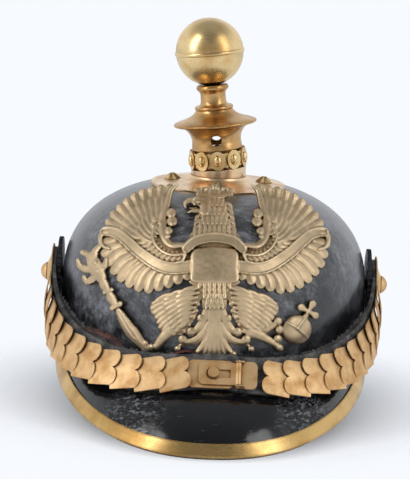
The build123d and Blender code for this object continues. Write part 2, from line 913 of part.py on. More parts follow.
def scales_end():
    """Distance from the front at which the last scale stops, clear of the rosette."""
    return strap_length() - strap_root_distance - scale_overlap - skew_reach(scale_side_width)


def chin_scales(side):
    """Overlapping scales of one half, each lying over the next one towards the front."""
    pitch = (scales_end() - scales_start(side)) / scale_count
    length = pitch + scale_overlap
    tilt = math.degrees(math.asin((scale_sheet + scale_layer_gap) / pitch))
    scales = []
    for i in range(scale_count):
        angle = strap_angle_at(scales_start(side) + pitch * (i + 0.5))
        plane = strap_frame(angle)
        width = band_width(angle, scale_front_width, scale_side_width)
        lift_off = strap_leather / 2 + scale_bed_gap + pitch * math.sin(math.radians(tilt)) / 2
        piece = Pos(0, 0, lift_off) * Rot(0, -tilt, 0) * Rot(0, 0, -scale_skew) * scale_plate(length, width)
        piece = in_strap_plane(plane * piece)
        scales.append(piece if side > 0 else mirror(piece, about=Plane.YZ))
    return Compound(children=scales)


def hook_level():
    """Height of the end plates above the strap's middle line, clear of its bend."""
    return strap_leather / 2 + piece_gap


def rounded_plate(length, width, sheet):
    """Flat plate with rounded corners, standing on its plane."""
    return extrude(RectangleRounded(length, width, width * plate_corner_share), sheet)


def left_end_plate():
    """Flat plate at the end of the left half, which carries the stud."""
    plate = rounded_plate(end_plate_length, end_plate_width, end_plate_sheet)
    hole = Pos(hook_stud_offset, 0, 0) * Cylinder(hook_stud_radius + seat_gap, 4 * end_plate_sheet)
    return in_strap_plane(strap_front() * Pos(0, 0, hook_level()) * (plate - hole))


def strap_front():
    """Frame on the strap's front: X to the helmet's left side, Z outwards."""
    plane = strap_frame(0)
    return Plane(origin=plane.origin, x_dir=(1, 0, 0), z_dir=plane.z_dir)


def tongue_level():
    return hook_level() + end_plate_sheet + piece_gap


def left_hook_stud():
    """Headed stud riveted in the left end plate."""
    foot = Pos(0, 0, hook_level()) * Cylinder(hook_stud_radius, hook_stud_height, align=bottom_aligned)
    top = hook_level() + hook_stud_height
    head = Pos(0, 0, top) * Cylinder(hook_head_radius, hook_head_height, align=bottom_aligned)
    return in_strap_plane(strap_front() * Pos(hook_stud_offset, 0, 0) * (foot + head))


def tongue_pin_offset():
    """Place of the tongue's pin across the strap's front."""
    return tongue_length - tongue_tip_margin - tongue_keyhole_radius + hook_stud_offset


def hook_tongue():
    """Flat tongue with a keyhole, hinged on a pin at the right half."""
    pin = tongue_pin_offset()
    middle = pin - tongue_length / 2
    level = tongue_level()
    plate = Pos(middle, 0, level) * rounded_plate(tongue_length, tongue_width, tongue_sheet)
    hole = Pos(hook_stud_offset, 0, level) * Cylinder(tongue_keyhole_radius, 4 * tongue_sheet)
    slot = Pos(hook_stud_offset + tongue_slot_length, 0, level)
    plate -= hole
    plate -= slot * Box(2 * tongue_slot_length, tongue_slot_width, 4 * tongue_sheet)
    barrel_at = Pos(pin, 0, tongue_pin_level()) * Rot(90, 0, 0)
    plate += barrel_at * Cylinder(tongue_barrel_radius, tongue_width)
    plate -= barrel_at * Cylinder(tongue_pin_radius + running_clearance, 2 * tongue_width)
    return in_strap_plane(strap_front() * plate)


def tongue_pin_level():
    return tongue_level() + tongue_sheet / 2


def hook_pin():
    """Pin through the tongue's barrel and the right end plate's two ears."""
    span = tongue_width + 2 * (end_plate_sheet + 2 * piece_gap) + end_plate_sheet
    pin = Pos(tongue_pin_offset(), 0, tongue_pin_level()) * Rot(90, 0, 0) * Cylinder(tongue_pin_radius, span)
    return in_strap_plane(strap_front() * pin)


def right_end_plate():
    """Plate at the end of the right half, with the ears that hold the tongue's pin."""
    start = tongue_pin_offset() + tongue_barrel_radius + piece_gap
    level = right_plate_level()
    plate = Pos(start + right_plate_length / 2, 0, level)
    plate = plate * rounded_plate(right_plate_length, end_plate_width, end_plate_sheet)
    ear_at = tongue_width / 2 + piece_gap + end_plate_sheet / 2
    ear_length = 2 * tongue_barrel_radius + tongue_barrel_radius
    ear_height = tongue_pin_level() - level + tongue_barrel_radius
    for side in (-1, 1):
        middle = tongue_pin_offset() + ear_length / 2 - tongue_barrel_radius
        ear = Pos(middle, side * ear_at, level + ear_height / 2)
        plate += ear * Box(ear_length + piece_gap, end_plate_sheet, ear_height)
        at = Pos(tongue_pin_offset(), side * ear_at, tongue_pin_level()) * Rot(90, 0, 0)
        plate -= at * Cylinder(tongue_pin_radius + seat_gap, 2 * end_plate_sheet)
    return in_strap_plane(strap_front() * plate)


def right_plate_level():
    return hook_level()


def eagle_plane():
    """Plane in front of the dome in which the eagle is drawn, X across, Y up."""
    lean = math.radians(eagle_lean)
    turn = math.radians(eagle_turn)
    away = (0, -math.cos(lean), math.sin(lean))
    across = (math.cos(turn), math.sin(turn) * math.sin(lean), math.sin(turn) * math.cos(lean))
    reach = skull_half_length + eagle_press_depth / 4
    return Plane(origin=(-eagle_offset, -reach, eagle_centre_level), x_dir=across, z_dir=away)


def pressed(outline, relief):
    """Sheet of the relief's height on the dome, behind an outline."""
    depth = eagle_press_depth + eagle_press_depth / 2
    tool = eagle_plane() * extrude(outline, -depth)
    sheet = dome_solid(eagle_gap + relief) - dome_solid(eagle_gap)
    return tool & sheet


def both_sides(outline):
    """An outline and its mirror image, as one sketch."""
    return outline + mirror(outline, about=Plane.YZ)


def smooth_face(points):
    """Face inside a smooth closed line through the points."""
    return make_face(Spline(*points, periodic=True))


def spans(shares):
    """Points given as shares of the eagle's half span, as lengths."""
    return [(x * eagle_half_span, y * eagle_half_span) for x, y in shares]


wing_shares = [
    (0.17, -0.17), (0.22, 0.09), (0.31, 0.26), (0.32, 0.46), (0.4, 0.61), (0.46, 0.5), (0.5, 0.33), (0.64, 0.12),
    (0.72, 0.31), (0.84, 0.41), (0.95, 0.35), (1.0, 0.23), (1.02, -0.02), (0.94, -0.21), (0.82, -0.33),
    (0.63, -0.41), (0.41, -0.35), (0.24, -0.28),
]
breast_shares = [(0.0, 0.53), (0.13, 0.43), (0.18, 0.23), (0.25, 0.04), (0.25, -0.28), (0.14, -0.46), (0.0, -0.52)]
head_shares = [(-0.25, 0.41), (-0.13, 0.5), (0.0, 0.53), (0.12, 0.44), (0.07, 0.31), (-0.1, 0.31), (-0.17, 0.38)]
crown_shares = [(-0.17, 0.47), (-0.19, 0.55), (-0.09, 0.6), (0.01, 0.61), (0.12, 0.6), (0.22, 0.55), (0.19, 0.47)]
thigh_shares = [
    (0.11, -0.46), (0.22, -0.32), (0.44, -0.42), (0.61, -0.54), (0.6, -0.67), (0.48, -0.79), (0.28, -0.8), (0.16, -0.67),
]
foot_shares = [(0.27, -0.74), (0.44, -0.74), (0.59, -0.66), (0.67, -0.74), (0.65, -0.88), (0.44, -0.94), (0.3, -0.88)]
tail_shares = [
    (0.0, -0.44), (0.07, -0.46), (0.11, -0.62), (0.24, -0.76), (0.32, -0.88), (0.18, -0.94), (0.07, -1.0), (0.0, -1.03),
]
ribbon_shares = [
    (0.2, -0.08), (0.44, -0.12), (0.57, -0.06), (0.68, 0.05), (0.79, 0.15), (0.91, 0.21), (1.03, 0.09),
    (0.87, 0.08), (0.78, 0.0), (0.68, -0.12), (0.56, -0.21), (0.44, -0.25), (0.2, -0.23),
]
band_shares = [(0.0, 0.16), (0.13, 0.13), (0.26, 0.02), (0.22, -0.04), (0.0, 0.04)]
sceptre_shares = [
    (-0.54, -0.86), (-0.6, -0.94), (-0.82, -0.79), (-0.85, -0.63), (-1.0, -0.39), (-1.09, -0.24), (-1.2, -0.11),
    (-1.18, 0.0), (-1.06, 0.03), (-0.99, -0.11), (-0.93, -0.37), (-0.74, -0.61), (-0.66, -0.74),
]
orb_centre_share = (0.77, -0.72)
orb_radius_share = 0.14
cross_centre_share = (0.87, -0.55)
cross_reach_share = 0.09
cross_arm_share = 0.07
cross_turn = -30.0


def half_outline(points):
    """Face between the upright centre line and a smooth line through the points, with its mirror."""
    half = make_face(Spline(*points) + Line(points[-1], points[0]))
    return both_sides(half)


def orb_outline():
    """Round orb with its tilted cross."""
    orb_x, orb_y = spans([orb_centre_share])[0]
    cross_x, cross_y = spans([cross_centre_share])[0]
    arm = 2 * cross_reach_share * eagle_half_span
    thick = cross_arm_share * eagle_half_span
    cross = Rectangle(arm, thick) + Rectangle(thick, arm)
    return Pos(orb_x, orb_y) * Circle(orb_radius_share * eagle_half_span) + Pos(cross_x, cross_y) * Rot(0, 0, cross_turn) * cross


def crown_room():
    """Room that the base plate and its stars take behind the eagle's crown."""
    rim, foot = plate_rim_level(), plate_foot_level()
    reach = plate_radius + eagle_crown_gap
    low = Pos(0, 0, rim + eagle_crown_gap) * Cylinder(reach, rim, align=(Align.CENTER, Align.CENTER, Align.MAX))
    slope = Cone(reach, plate_boss_foot_radius, foot - rim, align=(Align.CENTER, Align.CENTER, Align.MIN))
    stars = Cylinder(star_pitch_radius + star_outer_radius + eagle_crown_gap, 2 * skull_height)
    return low + Pos(0, 0, rim + eagle_crown_gap) * slope + Pos(0, 0, skull_height) * stars


def eagle_plate():
    """Pressed spread eagle, in three heights of relief, open between its limbs."""
    wings = both_sides(smooth_face(spans(wing_shares)))
    legs = both_sides(smooth_face(spans(thigh_shares)) + smooth_face(spans(foot_shares)))
    tail = half_outline(spans(tail_shares))
    ribbon = both_sides(smooth_face(spans(ribbon_shares)))
    band = half_outline(spans(band_shares))
    sceptre = smooth_face(spans(sceptre_shares))
    breast = half_outline(spans(breast_shares))
    head = smooth_face(spans(head_shares)) + smooth_face(spans(crown_shares))
    plate = pressed(wings + legs + tail, eagle_low_relief)
    plate += pressed(sceptre + orb_outline() + ribbon, eagle_mid_relief)
    plate += pressed(breast + band + head, eagle_high_relief)
    return plate - crown_room()


def eagle_post_places():
    """Places on the skull where the eagle's posts go through."""
    places = []
    for side in (-1, 1):
        x = side * eagle_post_spread
        y = -dome_front(x, eagle_post_level)
        plane = Plane(origin=(x, y, eagle_post_level), x_dir=(1, 0, 0), z_dir=eagle_plane().z_dir)
        places.append(plane.location)
    return places


def eagle_posts():
    """Threaded posts from the back of the eagle through the skull."""
    posts = []
    for place in eagle_post_places():
        post = Pos(0, 0, -eagle_post_reach) * Cylinder(
            eagle_post_radius, eagle_post_reach, align=bottom_aligned
        )
        posts.append(place * post)
    return Compound(children=posts)


def eagle_nuts():
    """Hexagon nuts on the eagle's posts, inside the skull."""
    nuts = []
    depth = skull_wall * eagle_nut_seat_share + eagle_nut_thickness
    for place in eagle_post_places():
        nut = extrude(RegularPolygon(eagle_nut_radius, 6), eagle_nut_thickness)
        nut -= Cylinder(eagle_post_radius + running_clearance, 4 * eagle_nut_thickness)
        nuts.append(place * Pos(0, 0, -depth) * nut)
    return Compound(children=nuts)


def sweatband():
    """Leather band that hangs from the rim inside the skull."""
    rim = dome_reach(0) - skull_wall - piece_gap
    oval = skull_half_length / skull_half_width
    top = rim - band_top_draw_in
    foot_at = Pos(0, 0, band_foot_level)
    top_at = Pos(0, 0, band_height)
    outer = loft([foot_at * Ellipse(rim, rim * oval), top_at * Ellipse(top, top * oval)])
    rim_in = rim - band_thickness
    top_in = top - band_thickness
    low = Pos(0, 0, band_foot_level - cut_overrun)
    high = Pos(0, 0, band_height + cut_overrun)
    inner = loft([low * Ellipse(rim_in, rim_in * oval), high * Ellipse(top_in, top_in * oval)])
    return outer - inner


def liner_tongue_section(angle, share):
    """Outline across one liner tongue, share 0 at its root and 1 at its tip."""
    grow = -skull_wall - liner_tongue_clearance
    root = band_height + piece_gap
    top = skull_height + grow - liner_tip_drop
    level = root + (top - root) * share
    oval = (skull_half_length + grow) / (skull_half_width + grow)
    reach = dome_reach(level, grow)
    out = ellipse_reach(reach, reach * oval, angle)
    half = (liner_tongue_root_width + (liner_tongue_tip_width - liner_tongue_root_width) * share) / 2
    plane = Plane(
        origin=(0, 0, 0), x_dir=(math.cos(angle), math.sin(angle), 0), z_dir=(math.sin(angle), -math.cos(angle), 0)
    )
    thick = liner_tongue_sheet
    corners = [(-half, level, out - thick), (half, level, out - thick), (half, level, out), (-half, level, out)]
    return Wire.make_polygon([plane.from_local_coords(c) for c in corners], close=True)


def liner_tongues():
    """Leather fingers that rise from the sweatband inside the dome, a lace hole in each tip."""
    fingers = []
    steps = len(liner_bend_shares)
    for i in range(liner_tongue_count):
        angle = 2 * math.pi * (i + 0.5) / liner_tongue_count
        sections = [liner_tongue_section(angle, liner_bend_shares[k]) for k in range(steps)]
        fingers.append(Solid.make_loft(sections))
    return Compound(children=fingers)


liner_bend_shares = [0, 0.3, 0.55, 0.75, 0.9, 1]


os.makedirs("parts", exist_ok=True)

nodes = {
    "skull_shell": skull_shell(),
    "front_visor": visor(front_sizes(), -1),
    "front_visor_trim": front_visor_trim(),
    "trim_end_studs": trim_end_studs(),
    "rear_visor": visor(rear_sizes(), 1),
    "rear_spine": rear_spine(),
    "spine_stud": spine_stud(),
    "base_plate": base_plate(),
    "base_plate_studs": base_plate_studs(),
    "stud_washers": stud_washers(),
    "neck_collar": neck_collar(),
    "pearl_ring": pearl_ring(),
    "neck_flare": neck_flare(),
    "finial_washer": finial_washer(),
    "finial_flange": finial_flange(),
    "ball_stem": ball_stem(),
    "ball_lower_half": ball_half(-1),
    "ball_upper_half": ball_half(1),
    "ball_seam": ball_seam(),
    "ball_shank": ball_shank(),
    "eagle_plate": eagle_plate(),
    "eagle_posts": eagle_posts(),
    "eagle_nuts": eagle_nuts(),
    "left_end_plate": left_end_plate(),
    "left_hook_stud": left_hook_stud(),
    "right_end_plate": right_end_plate(),
    "hook_pin": hook_pin(),
    "hook_tongue": hook_tongue(),
    "sweatband": sweatband(),
    "liner_tongues": liner_tongues(),
}
for name, side in (("left", -1), ("right", 1)):
    nodes[f"{name}_cockade"] = cockade(side)
    nodes[f"{name}_rosette"] = rosette(side)
    nodes[f"{name}_post_screw"] = post_screw(side)
    nodes[f"{name}_post_nut"] = post_nut(side)
    nodes[f"{name}_chin_scales"] = chin_scales(side)
nodes["left_strap_leather"] = strap_leather_half(-1, -strap_overlap_length)
nodes["right_strap_leather"] = strap_leather_half(1, strap_overlap_length + piece_gap)

for name, shape in nodes.items():
    export_step(shape, f"parts/{name}.step")
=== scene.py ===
"""Ball-topped leather dress helmet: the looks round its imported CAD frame.

The CAD nodes carry the helmet's own shapes. This script gives each of them a
procedural material, and adds what is too fine for the solids: the pressed
eagle plate with its feathers, and the worn lining of the chin strap.
Blender works in metres. Sizes named with _mm are millimetres, and so are the
sizes of the classes that say so.
"""

import logging
import math
from dataclasses import dataclass
from enum import Enum

import bpy
import numpy as np
from mathutils import Matrix, Vector

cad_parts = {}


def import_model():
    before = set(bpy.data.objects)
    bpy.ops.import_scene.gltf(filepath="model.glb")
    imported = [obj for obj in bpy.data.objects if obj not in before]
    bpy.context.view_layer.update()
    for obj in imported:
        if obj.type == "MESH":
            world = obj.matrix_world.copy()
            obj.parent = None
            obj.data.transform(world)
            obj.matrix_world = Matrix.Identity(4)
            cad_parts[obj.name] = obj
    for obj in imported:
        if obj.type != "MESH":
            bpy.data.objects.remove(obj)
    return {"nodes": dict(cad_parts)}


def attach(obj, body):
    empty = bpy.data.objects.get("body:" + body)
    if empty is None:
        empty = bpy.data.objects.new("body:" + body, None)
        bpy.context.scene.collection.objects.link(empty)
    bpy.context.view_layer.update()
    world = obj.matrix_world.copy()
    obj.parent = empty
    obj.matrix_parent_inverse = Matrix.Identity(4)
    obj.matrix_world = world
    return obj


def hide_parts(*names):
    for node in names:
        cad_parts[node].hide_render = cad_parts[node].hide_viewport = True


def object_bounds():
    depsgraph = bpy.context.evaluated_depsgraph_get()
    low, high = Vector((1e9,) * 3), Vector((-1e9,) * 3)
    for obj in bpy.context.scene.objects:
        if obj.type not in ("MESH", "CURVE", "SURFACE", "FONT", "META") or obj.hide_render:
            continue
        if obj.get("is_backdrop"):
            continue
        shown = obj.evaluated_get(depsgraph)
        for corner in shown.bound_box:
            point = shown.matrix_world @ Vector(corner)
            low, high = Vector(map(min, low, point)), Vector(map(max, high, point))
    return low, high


log = logging.getLogger("helmet")

MM = 0.001

Material = bpy.types.Material
Socket = bpy.types.NodeSocket
Value = Socket | float
Colour = Socket | str
Place = tuple[float, float, float]
Point = tuple[float, float]
Points = list[Point]
Window = tuple[slice, slice]


def linear(colour: str) -> tuple[float, float, float, float]:
    """Turns an sRGB colour code into the linear values that shaders take.

    Args:
        colour: Six hexadecimal digits with a leading hash.

    Returns:
        Linear red, green, blue and an alpha of one.
    """
    shares = [int(colour[i : i + 2], 16) / 255 for i in (1, 3, 5)]
    red, green, blue = [s / 12.92 if s <= 0.04045 else ((s + 0.055) / 1.055) ** 2.4 for s in shares]
    return red, green, blue, 1.0


def link(name: str, data: bpy.types.ID) -> bpy.types.Object:
    """Puts a mesh, lamp or camera into the scene.

    Args:
        name: Name of the object.
        data: What it shows or does.

    Returns:
        The new object.
    """
    placed = bpy.data.objects.new(name, data)
    bpy.context.scene.collection.objects.link(placed)
    return placed


def shade(mesh: bpy.types.Mesh, material: Material, sharp_deg: float) -> None:
    """Gives a mesh its only material and smooth shading between sharp edges.

    Args:
        mesh: The mesh.
        material: Its finish.
        sharp_deg: Angle from which an edge stays sharp.
    """
    mesh.materials.clear()
    mesh.materials.append(material)
    mesh.shade_smooth()
    mesh.set_sharp_from_angle(angle=math.radians(sharp_deg))


class ShaderTree:
    """Node tree of one material or world, built a node at a time."""

    def __init__(self, owner: bpy.types.ID) -> None:
        """Empties the tree of a material or world.

        Args:
            owner: The material or world.
        """
        owner.use_nodes = True
        self.tree = owner.node_tree
        self.tree.nodes.clear()

    def add(self, kind: str, inputs: dict | None = None, **settings: object) -> bpy.types.Node:
        """Adds a node, sets its options, and fills or links its inputs.

        Args:
            kind: Node type without its ShaderNode prefix.
            inputs: Input name or index to a constant or an output socket.
            **settings: Options of the node itself.

        Returns:
            The new node.
        """
        node = self.tree.nodes.new("ShaderNode" + kind)
        for name, value in settings.items():
            setattr(node, name, value)
        for name, value in (inputs or {}).items():
            socket = node.inputs[name]
            if isinstance(value, Socket):
                self.tree.links.new(value, socket)
            else:
                socket.default_value = value
        return node

    def place(self) -> Socket:
        """Position on the object at rest, in metres."""
        return self.add("TexCoord").outputs["Object"]

    def stretched(self, stretch: Place, turn_deg: float = 0.0) -> Socket:
        """Position with each axis scaled, for streaks and brushing.

        Args:
            stretch: Scale of each axis, smallest along the streaks.
            turn_deg: Turn of the scaled position, which picks another stretch of the noise.

        Returns:
            The scaled position.
        """
        turn = (0.0, math.radians(turn_deg), 0.0)
        mapping = self.add("Mapping", {"Vector": self.place(), "Rotation": turn, "Scale": stretch})
        return mapping.outputs["Vector"]

    def noise(self, size_mm: float, detail: float = 4.0, rough: float = 0.55, at: Socket | None = None) -> Socket:
        """Soft noise.

        Args:
            size_mm: Rough width of its patches.
            detail: Number of finer layers.
            rough: How strongly the finer layers count.
            at: Position to read it at, which is otherwise the plain one.

        Returns:
            A value between zero and one.
        """
        inputs = {
            "Vector": at or self.place(),
            "Scale": 1 / (size_mm * MM),
            "Detail": detail,
            "Roughness": rough,
        }
        return self.add("TexNoise", inputs).outputs["Fac"]

    def cells(self, size_mm: float) -> Socket:
        """Distance inside cells about size_mm across, such as leather's grain."""
        inputs = {"Vector": self.place(), "Scale": 1 / (size_mm * MM)}
        return self.add("TexVoronoi", inputs).outputs["Distance"]

    def span(self, value: Value, low: float, high: float, to_low: float = 0.0, to_high: float = 1.0) -> Socket:
        """Takes one range of values smoothly to another, held at its ends.

        Args:
            value: What is mapped.
            low: Start of the range that comes in.
            high: End of the range that comes in.
            to_low: What the start becomes.
            to_high: What the end becomes.

        Returns:
            The mapped value.
        """
        inputs = {"Value": value, "From Min": low, "From Max": high, "To Min": to_low, "To Max": to_high}
        return self.add("MapRange", inputs, interpolation_type="SMOOTHSTEP").outputs["Result"]

    def near(self, spot: Place, reach_mm: float) -> Socket:
        """One round a spot, falling to zero at a distance from it.

        Args:
            spot: The spot, in metres.
            reach_mm: Distance at which nothing is left. Within a fifth of it the share is one.

        Returns:
            The share.
        """
        away = self.add("VectorMath", {0: self.place(), 1: spot}, operation="DISTANCE").outputs["Value"]
        return self.span(away, 0.2 * reach_mm * MM, reach_mm * MM, 1.0, 0.0)

    def math(self, operation: str, first: Value, second: Value = 0.0) -> Socket:
        """Result of one operation on two numbers."""
        return self.add("Math", {0: first, 1: second}, operation=operation).outputs[0]

    def times(self, first: Value, second: Value) -> Socket:
        """Product of two numbers."""
        return self.math("MULTIPLY", first, second)

    def plus(self, first: Value, second: Value) -> Socket:
        """Sum of two numbers."""
        return self.math("ADD", first, second)

    def blend(self, share: Value, first: Colour, second: Colour) -> Socket:
        """Mixes two colours.

        Args:
            share: Share of the second colour.
            first: Colour code or socket.
            second: Colour code or socket.

        Returns:
            The mixed colour.
        """
        colour_inputs, colour_output = (6, 7), 2
        node = self.add("Mix", {"Factor": share}, data_type="RGBA")
        for index, colour in zip(colour_inputs, (first, second)):
            if isinstance(colour, Socket):
                self.tree.links.new(colour, node.inputs[index])
            else:
                node.inputs[index].default_value = linear(colour)
        return node.outputs[colour_output]

    def bump(self, height: Value, depth_mm: float, normal: Socket | None = None) -> Socket:
        """Surface relief, laid over another normal.

        Args:
            height: Height between zero and one.
            depth_mm: Depth of the whole relief.
            normal: Normal below it, if there is one.

        Returns:
            The new normal.
        """
        inputs = {"Height": height, "Distance": depth_mm * MM, "Strength": 1.0}
        if normal:
            inputs["Normal"] = normal
        return self.add("Bump", inputs).outputs["Normal"]

    def soft_edges(self, radius_mm: float) -> Socket:
        """Normal that rounds every sharp edge by the radius."""
        return self.add("Bevel", {"Radius": radius_mm * MM}, samples=4).outputs["Normal"]

    def crevices(self, reach_mm: float) -> Socket:
        """One in the open and towards zero in crevices, within a reach."""
        return self.add("AmbientOcclusion", {"Distance": reach_mm * MM}, samples=6).outputs["AO"]

    def surface(self, inputs: dict) -> None:
        """Ends the tree in a principled surface."""
        shader = self.add("BsdfPrincipled", inputs)
        self.add("OutputMaterial", {"Surface": shader.outputs["BSDF"]})

    def metal(self, colour: Socket, rough: Socket, normal: Socket) -> None:
        """Ends the tree in bare metal."""
        self.surface({"Base Color": colour, "Metallic": 1.0, "Roughness": rough, "Normal": normal})


@dataclass(frozen=True)
class BrassFinish:
    """How one piece of brass or copper was made and how it has aged.

    Attributes:
        clean: Colour where hands keep it bright.
        toned: Colour of the thin tarnish.
        dirt_and_shade: Colour of dirt specks, and of the dirt and painted shade in its crevices and where parts meet.
        roughness: Roughness where it is clean.
        tarnish: Share of the surface that has toned.
        patch_mm: Size of the toned patches.
        scratch_mm: Depth of the polishing scratches.
        edge_mm: Rounding of its worn edges.
        dent_mm: Depth of the shallow dents of spun or pressed sheet.
    """

    clean: str
    toned: str
    dirt_and_shade: str
    roughness: float
    tarnish: float
    patch_mm: float
    scratch_mm: float
    edge_mm: float
    dent_mm: float


class Brass:
    """Maker of the metal materials."""

    FINISHES = {
        # Brass sheet spun on a lathe and gilt: pale and warm, with clear reflections.
        "spun_gilt_brass": BrassFinish(
            "#E6CA94", "#C9A062", "#6E4519", roughness=0.27, tarnish=0.4, patch_mm=18.0, scratch_mm=0.006,
            edge_mm=0.4, dent_mm=0.03,
        ),
        # The same sheet with its gilding worn off: browner, in wide dull patches.
        "spun_aged_brass": BrassFinish(
            "#CDA56E", "#A67A44", "#5A3615", roughness=0.27, tarnish=0.55, patch_mm=14.0, scratch_mm=0.008,
            edge_mm=0.35, dent_mm=0.03,
        ),
        # Brass rich in copper, spun: a pink cast next to the yellow metal above it.
        "spun_copper_brass": BrassFinish(
            "#EDD0A8", "#D2A97E", "#6E4728", roughness=0.28, tarnish=0.5, patch_mm=16.0, scratch_mm=0.008,
            edge_mm=0.3, dent_mm=0.03,
        ),
        # Thin brass stamped and dipped: satin and rosy, with no mirror in it.
        "stamped_rose_brass": BrassFinish(
            "#E2BF8E", "#C79B66", "#62401F", roughness=0.52, tarnish=0.5, patch_mm=9.0, scratch_mm=0.012,
            edge_mm=0.3, dent_mm=0.08,
        ),
        # Brass strip folded over an edge: its wide round edge draws one long highlight.
        "folded_trim_brass": BrassFinish(
            "#D2AE70", "#A9834A", "#5A4424", roughness=0.27, tarnish=0.4, patch_mm=26.0, scratch_mm=0.008,
            edge_mm=1.6, dent_mm=0.02,
        ),
        # Cast brass that nobody polishes: grey-brown and nearly matt.
        "dull_cast_brass": BrassFinish(
            "#BFA67A", "#8F7C5A", "#4A3B24", roughness=0.42, tarnish=0.6, patch_mm=8.0, scratch_mm=0.01,
            edge_mm=0.3, dent_mm=0.03,
        ),
    }

    @classmethod
    def make(cls, name: str) -> Material:
        """Makes one metal by the name of its finish.

        Args:
            name: Key of FINISHES, which says the metal and how it was shaped.

        Returns:
            The material.
        """
        finish = cls.FINISHES[name]
        material = bpy.data.materials.new(name)
        tree = ShaderTree(material)
        patches = tree.span(tree.noise(finish.patch_mm, 5.0), 0.62 - finish.tarnish / 2, 0.72)
        colour = tree.blend(patches, finish.clean, finish.toned)
        specks = tree.span(tree.noise(1.6, 3.0, 0.7), 0.66, 0.74)
        colour = tree.blend(tree.times(specks, 0.5), colour, finish.dirt_and_shade)
        # Painted shade: ambient occlusion darkens crevices and the joins between parts, partly as dirt and partly as
        # shade.
        dirt_and_shade = tree.span(tree.crevices(2.5), 0.25, 0.85, 0.85, 0.0)
        colour = tree.blend(dirt_and_shade, colour, finish.dirt_and_shade)
        # Polishing scratches are under 0.1 mm wide. They are drawn 0.5 mm wide so that they show.
        streaks = tree.noise(0.5, 2.0, 0.7, tree.stretched((0.08, 1.0, 1.0)))
        rough = tree.plus(tree.span(streaks, 0.3, 0.7, -0.04, 0.06), finish.roughness)
        rough = tree.plus(rough, tree.times(patches, 0.1))
        normal = tree.bump(tree.noise(9.0, 2.0), finish.dent_mm, tree.soft_edges(finish.edge_mm))
        normal = tree.bump(streaks, finish.scratch_mm, normal)
        tree.metal(colour, rough, normal)
        log.info("metal %s", name)
        return material

    @staticmethod
    def pressed_plate() -> Material:
        """Thin brass pressed in a die, long tarnished and worn bright by rubbing on its high parts.

        The hollows are dark with dirt and painted shade, and the ridges pale as worn
        metal with a painted highlight, so that every feather reads from afar. The mesh
        says in its cavity attribute how high a place stands.

        Returns:
            The material.
        """
        material = bpy.data.materials.new("pressed_tarnished_brass")
        tree = ShaderTree(material)
        cavity = tree.add("Attribute", attribute_name="cavity").outputs["Fac"]
        patches = tree.span(tree.noise(13.0, 5.0), 0.35, 0.7)
        colour = tree.blend(patches, "#D3BA96", "#B9A483")
        # Painted highlight: the high parts are lightened towards pale cream, partly as worn metal and partly as the
        # highlight that ridges catch.
        high = tree.span(cavity, 0.1, 0.8)
        colour = tree.blend(tree.times(high, 0.9), colour, "#FBEBC6")
        # Painted shade: the hollows are darkened, partly as dirt and partly as the shade that falls in them.
        low = tree.span(cavity, -0.9, 0.0, 0.9, 0.0)
        colour = tree.blend(low, colour, "#54462A")
        specks = tree.span(tree.noise(1.2, 3.0, 0.7), 0.62, 0.72)
        colour = tree.blend(tree.times(specks, 0.35), colour, "#6F6A42")
        # Painted shade: ambient occlusion darkens the crevices, partly as dirt and partly as shade.
        dirt_and_shade = tree.span(tree.crevices(1.6), 0.2, 0.8, 0.7, 0.0)
        colour = tree.blend(dirt_and_shade, colour, "#3B321D")
        rough = tree.math("SUBTRACT", 0.46, tree.times(high, 0.14))
        rough = tree.plus(rough, tree.span(tree.noise(2.5, 4.0), 0.3, 0.7, -0.05, 0.08))
        normal = tree.bump(tree.noise(0.6, 3.0, 0.6), 0.03)
        tree.metal(colour, rough, normal)
        return material


@dataclass(frozen=True)
class HideFinish:
    """How one plain leather was dyed and dressed.

    Attributes:
        name: Material name, which says the leather and its finish.
        dark: Colour of the deep dye.
        light: Colour where it is worn by rubbing.
        roughness: Roughness of the surface.
        grain_mm: Size of the grain's cells.
    """

    name: str
    dark: str
    light: str
    roughness: float
    grain_mm: float = 0.9


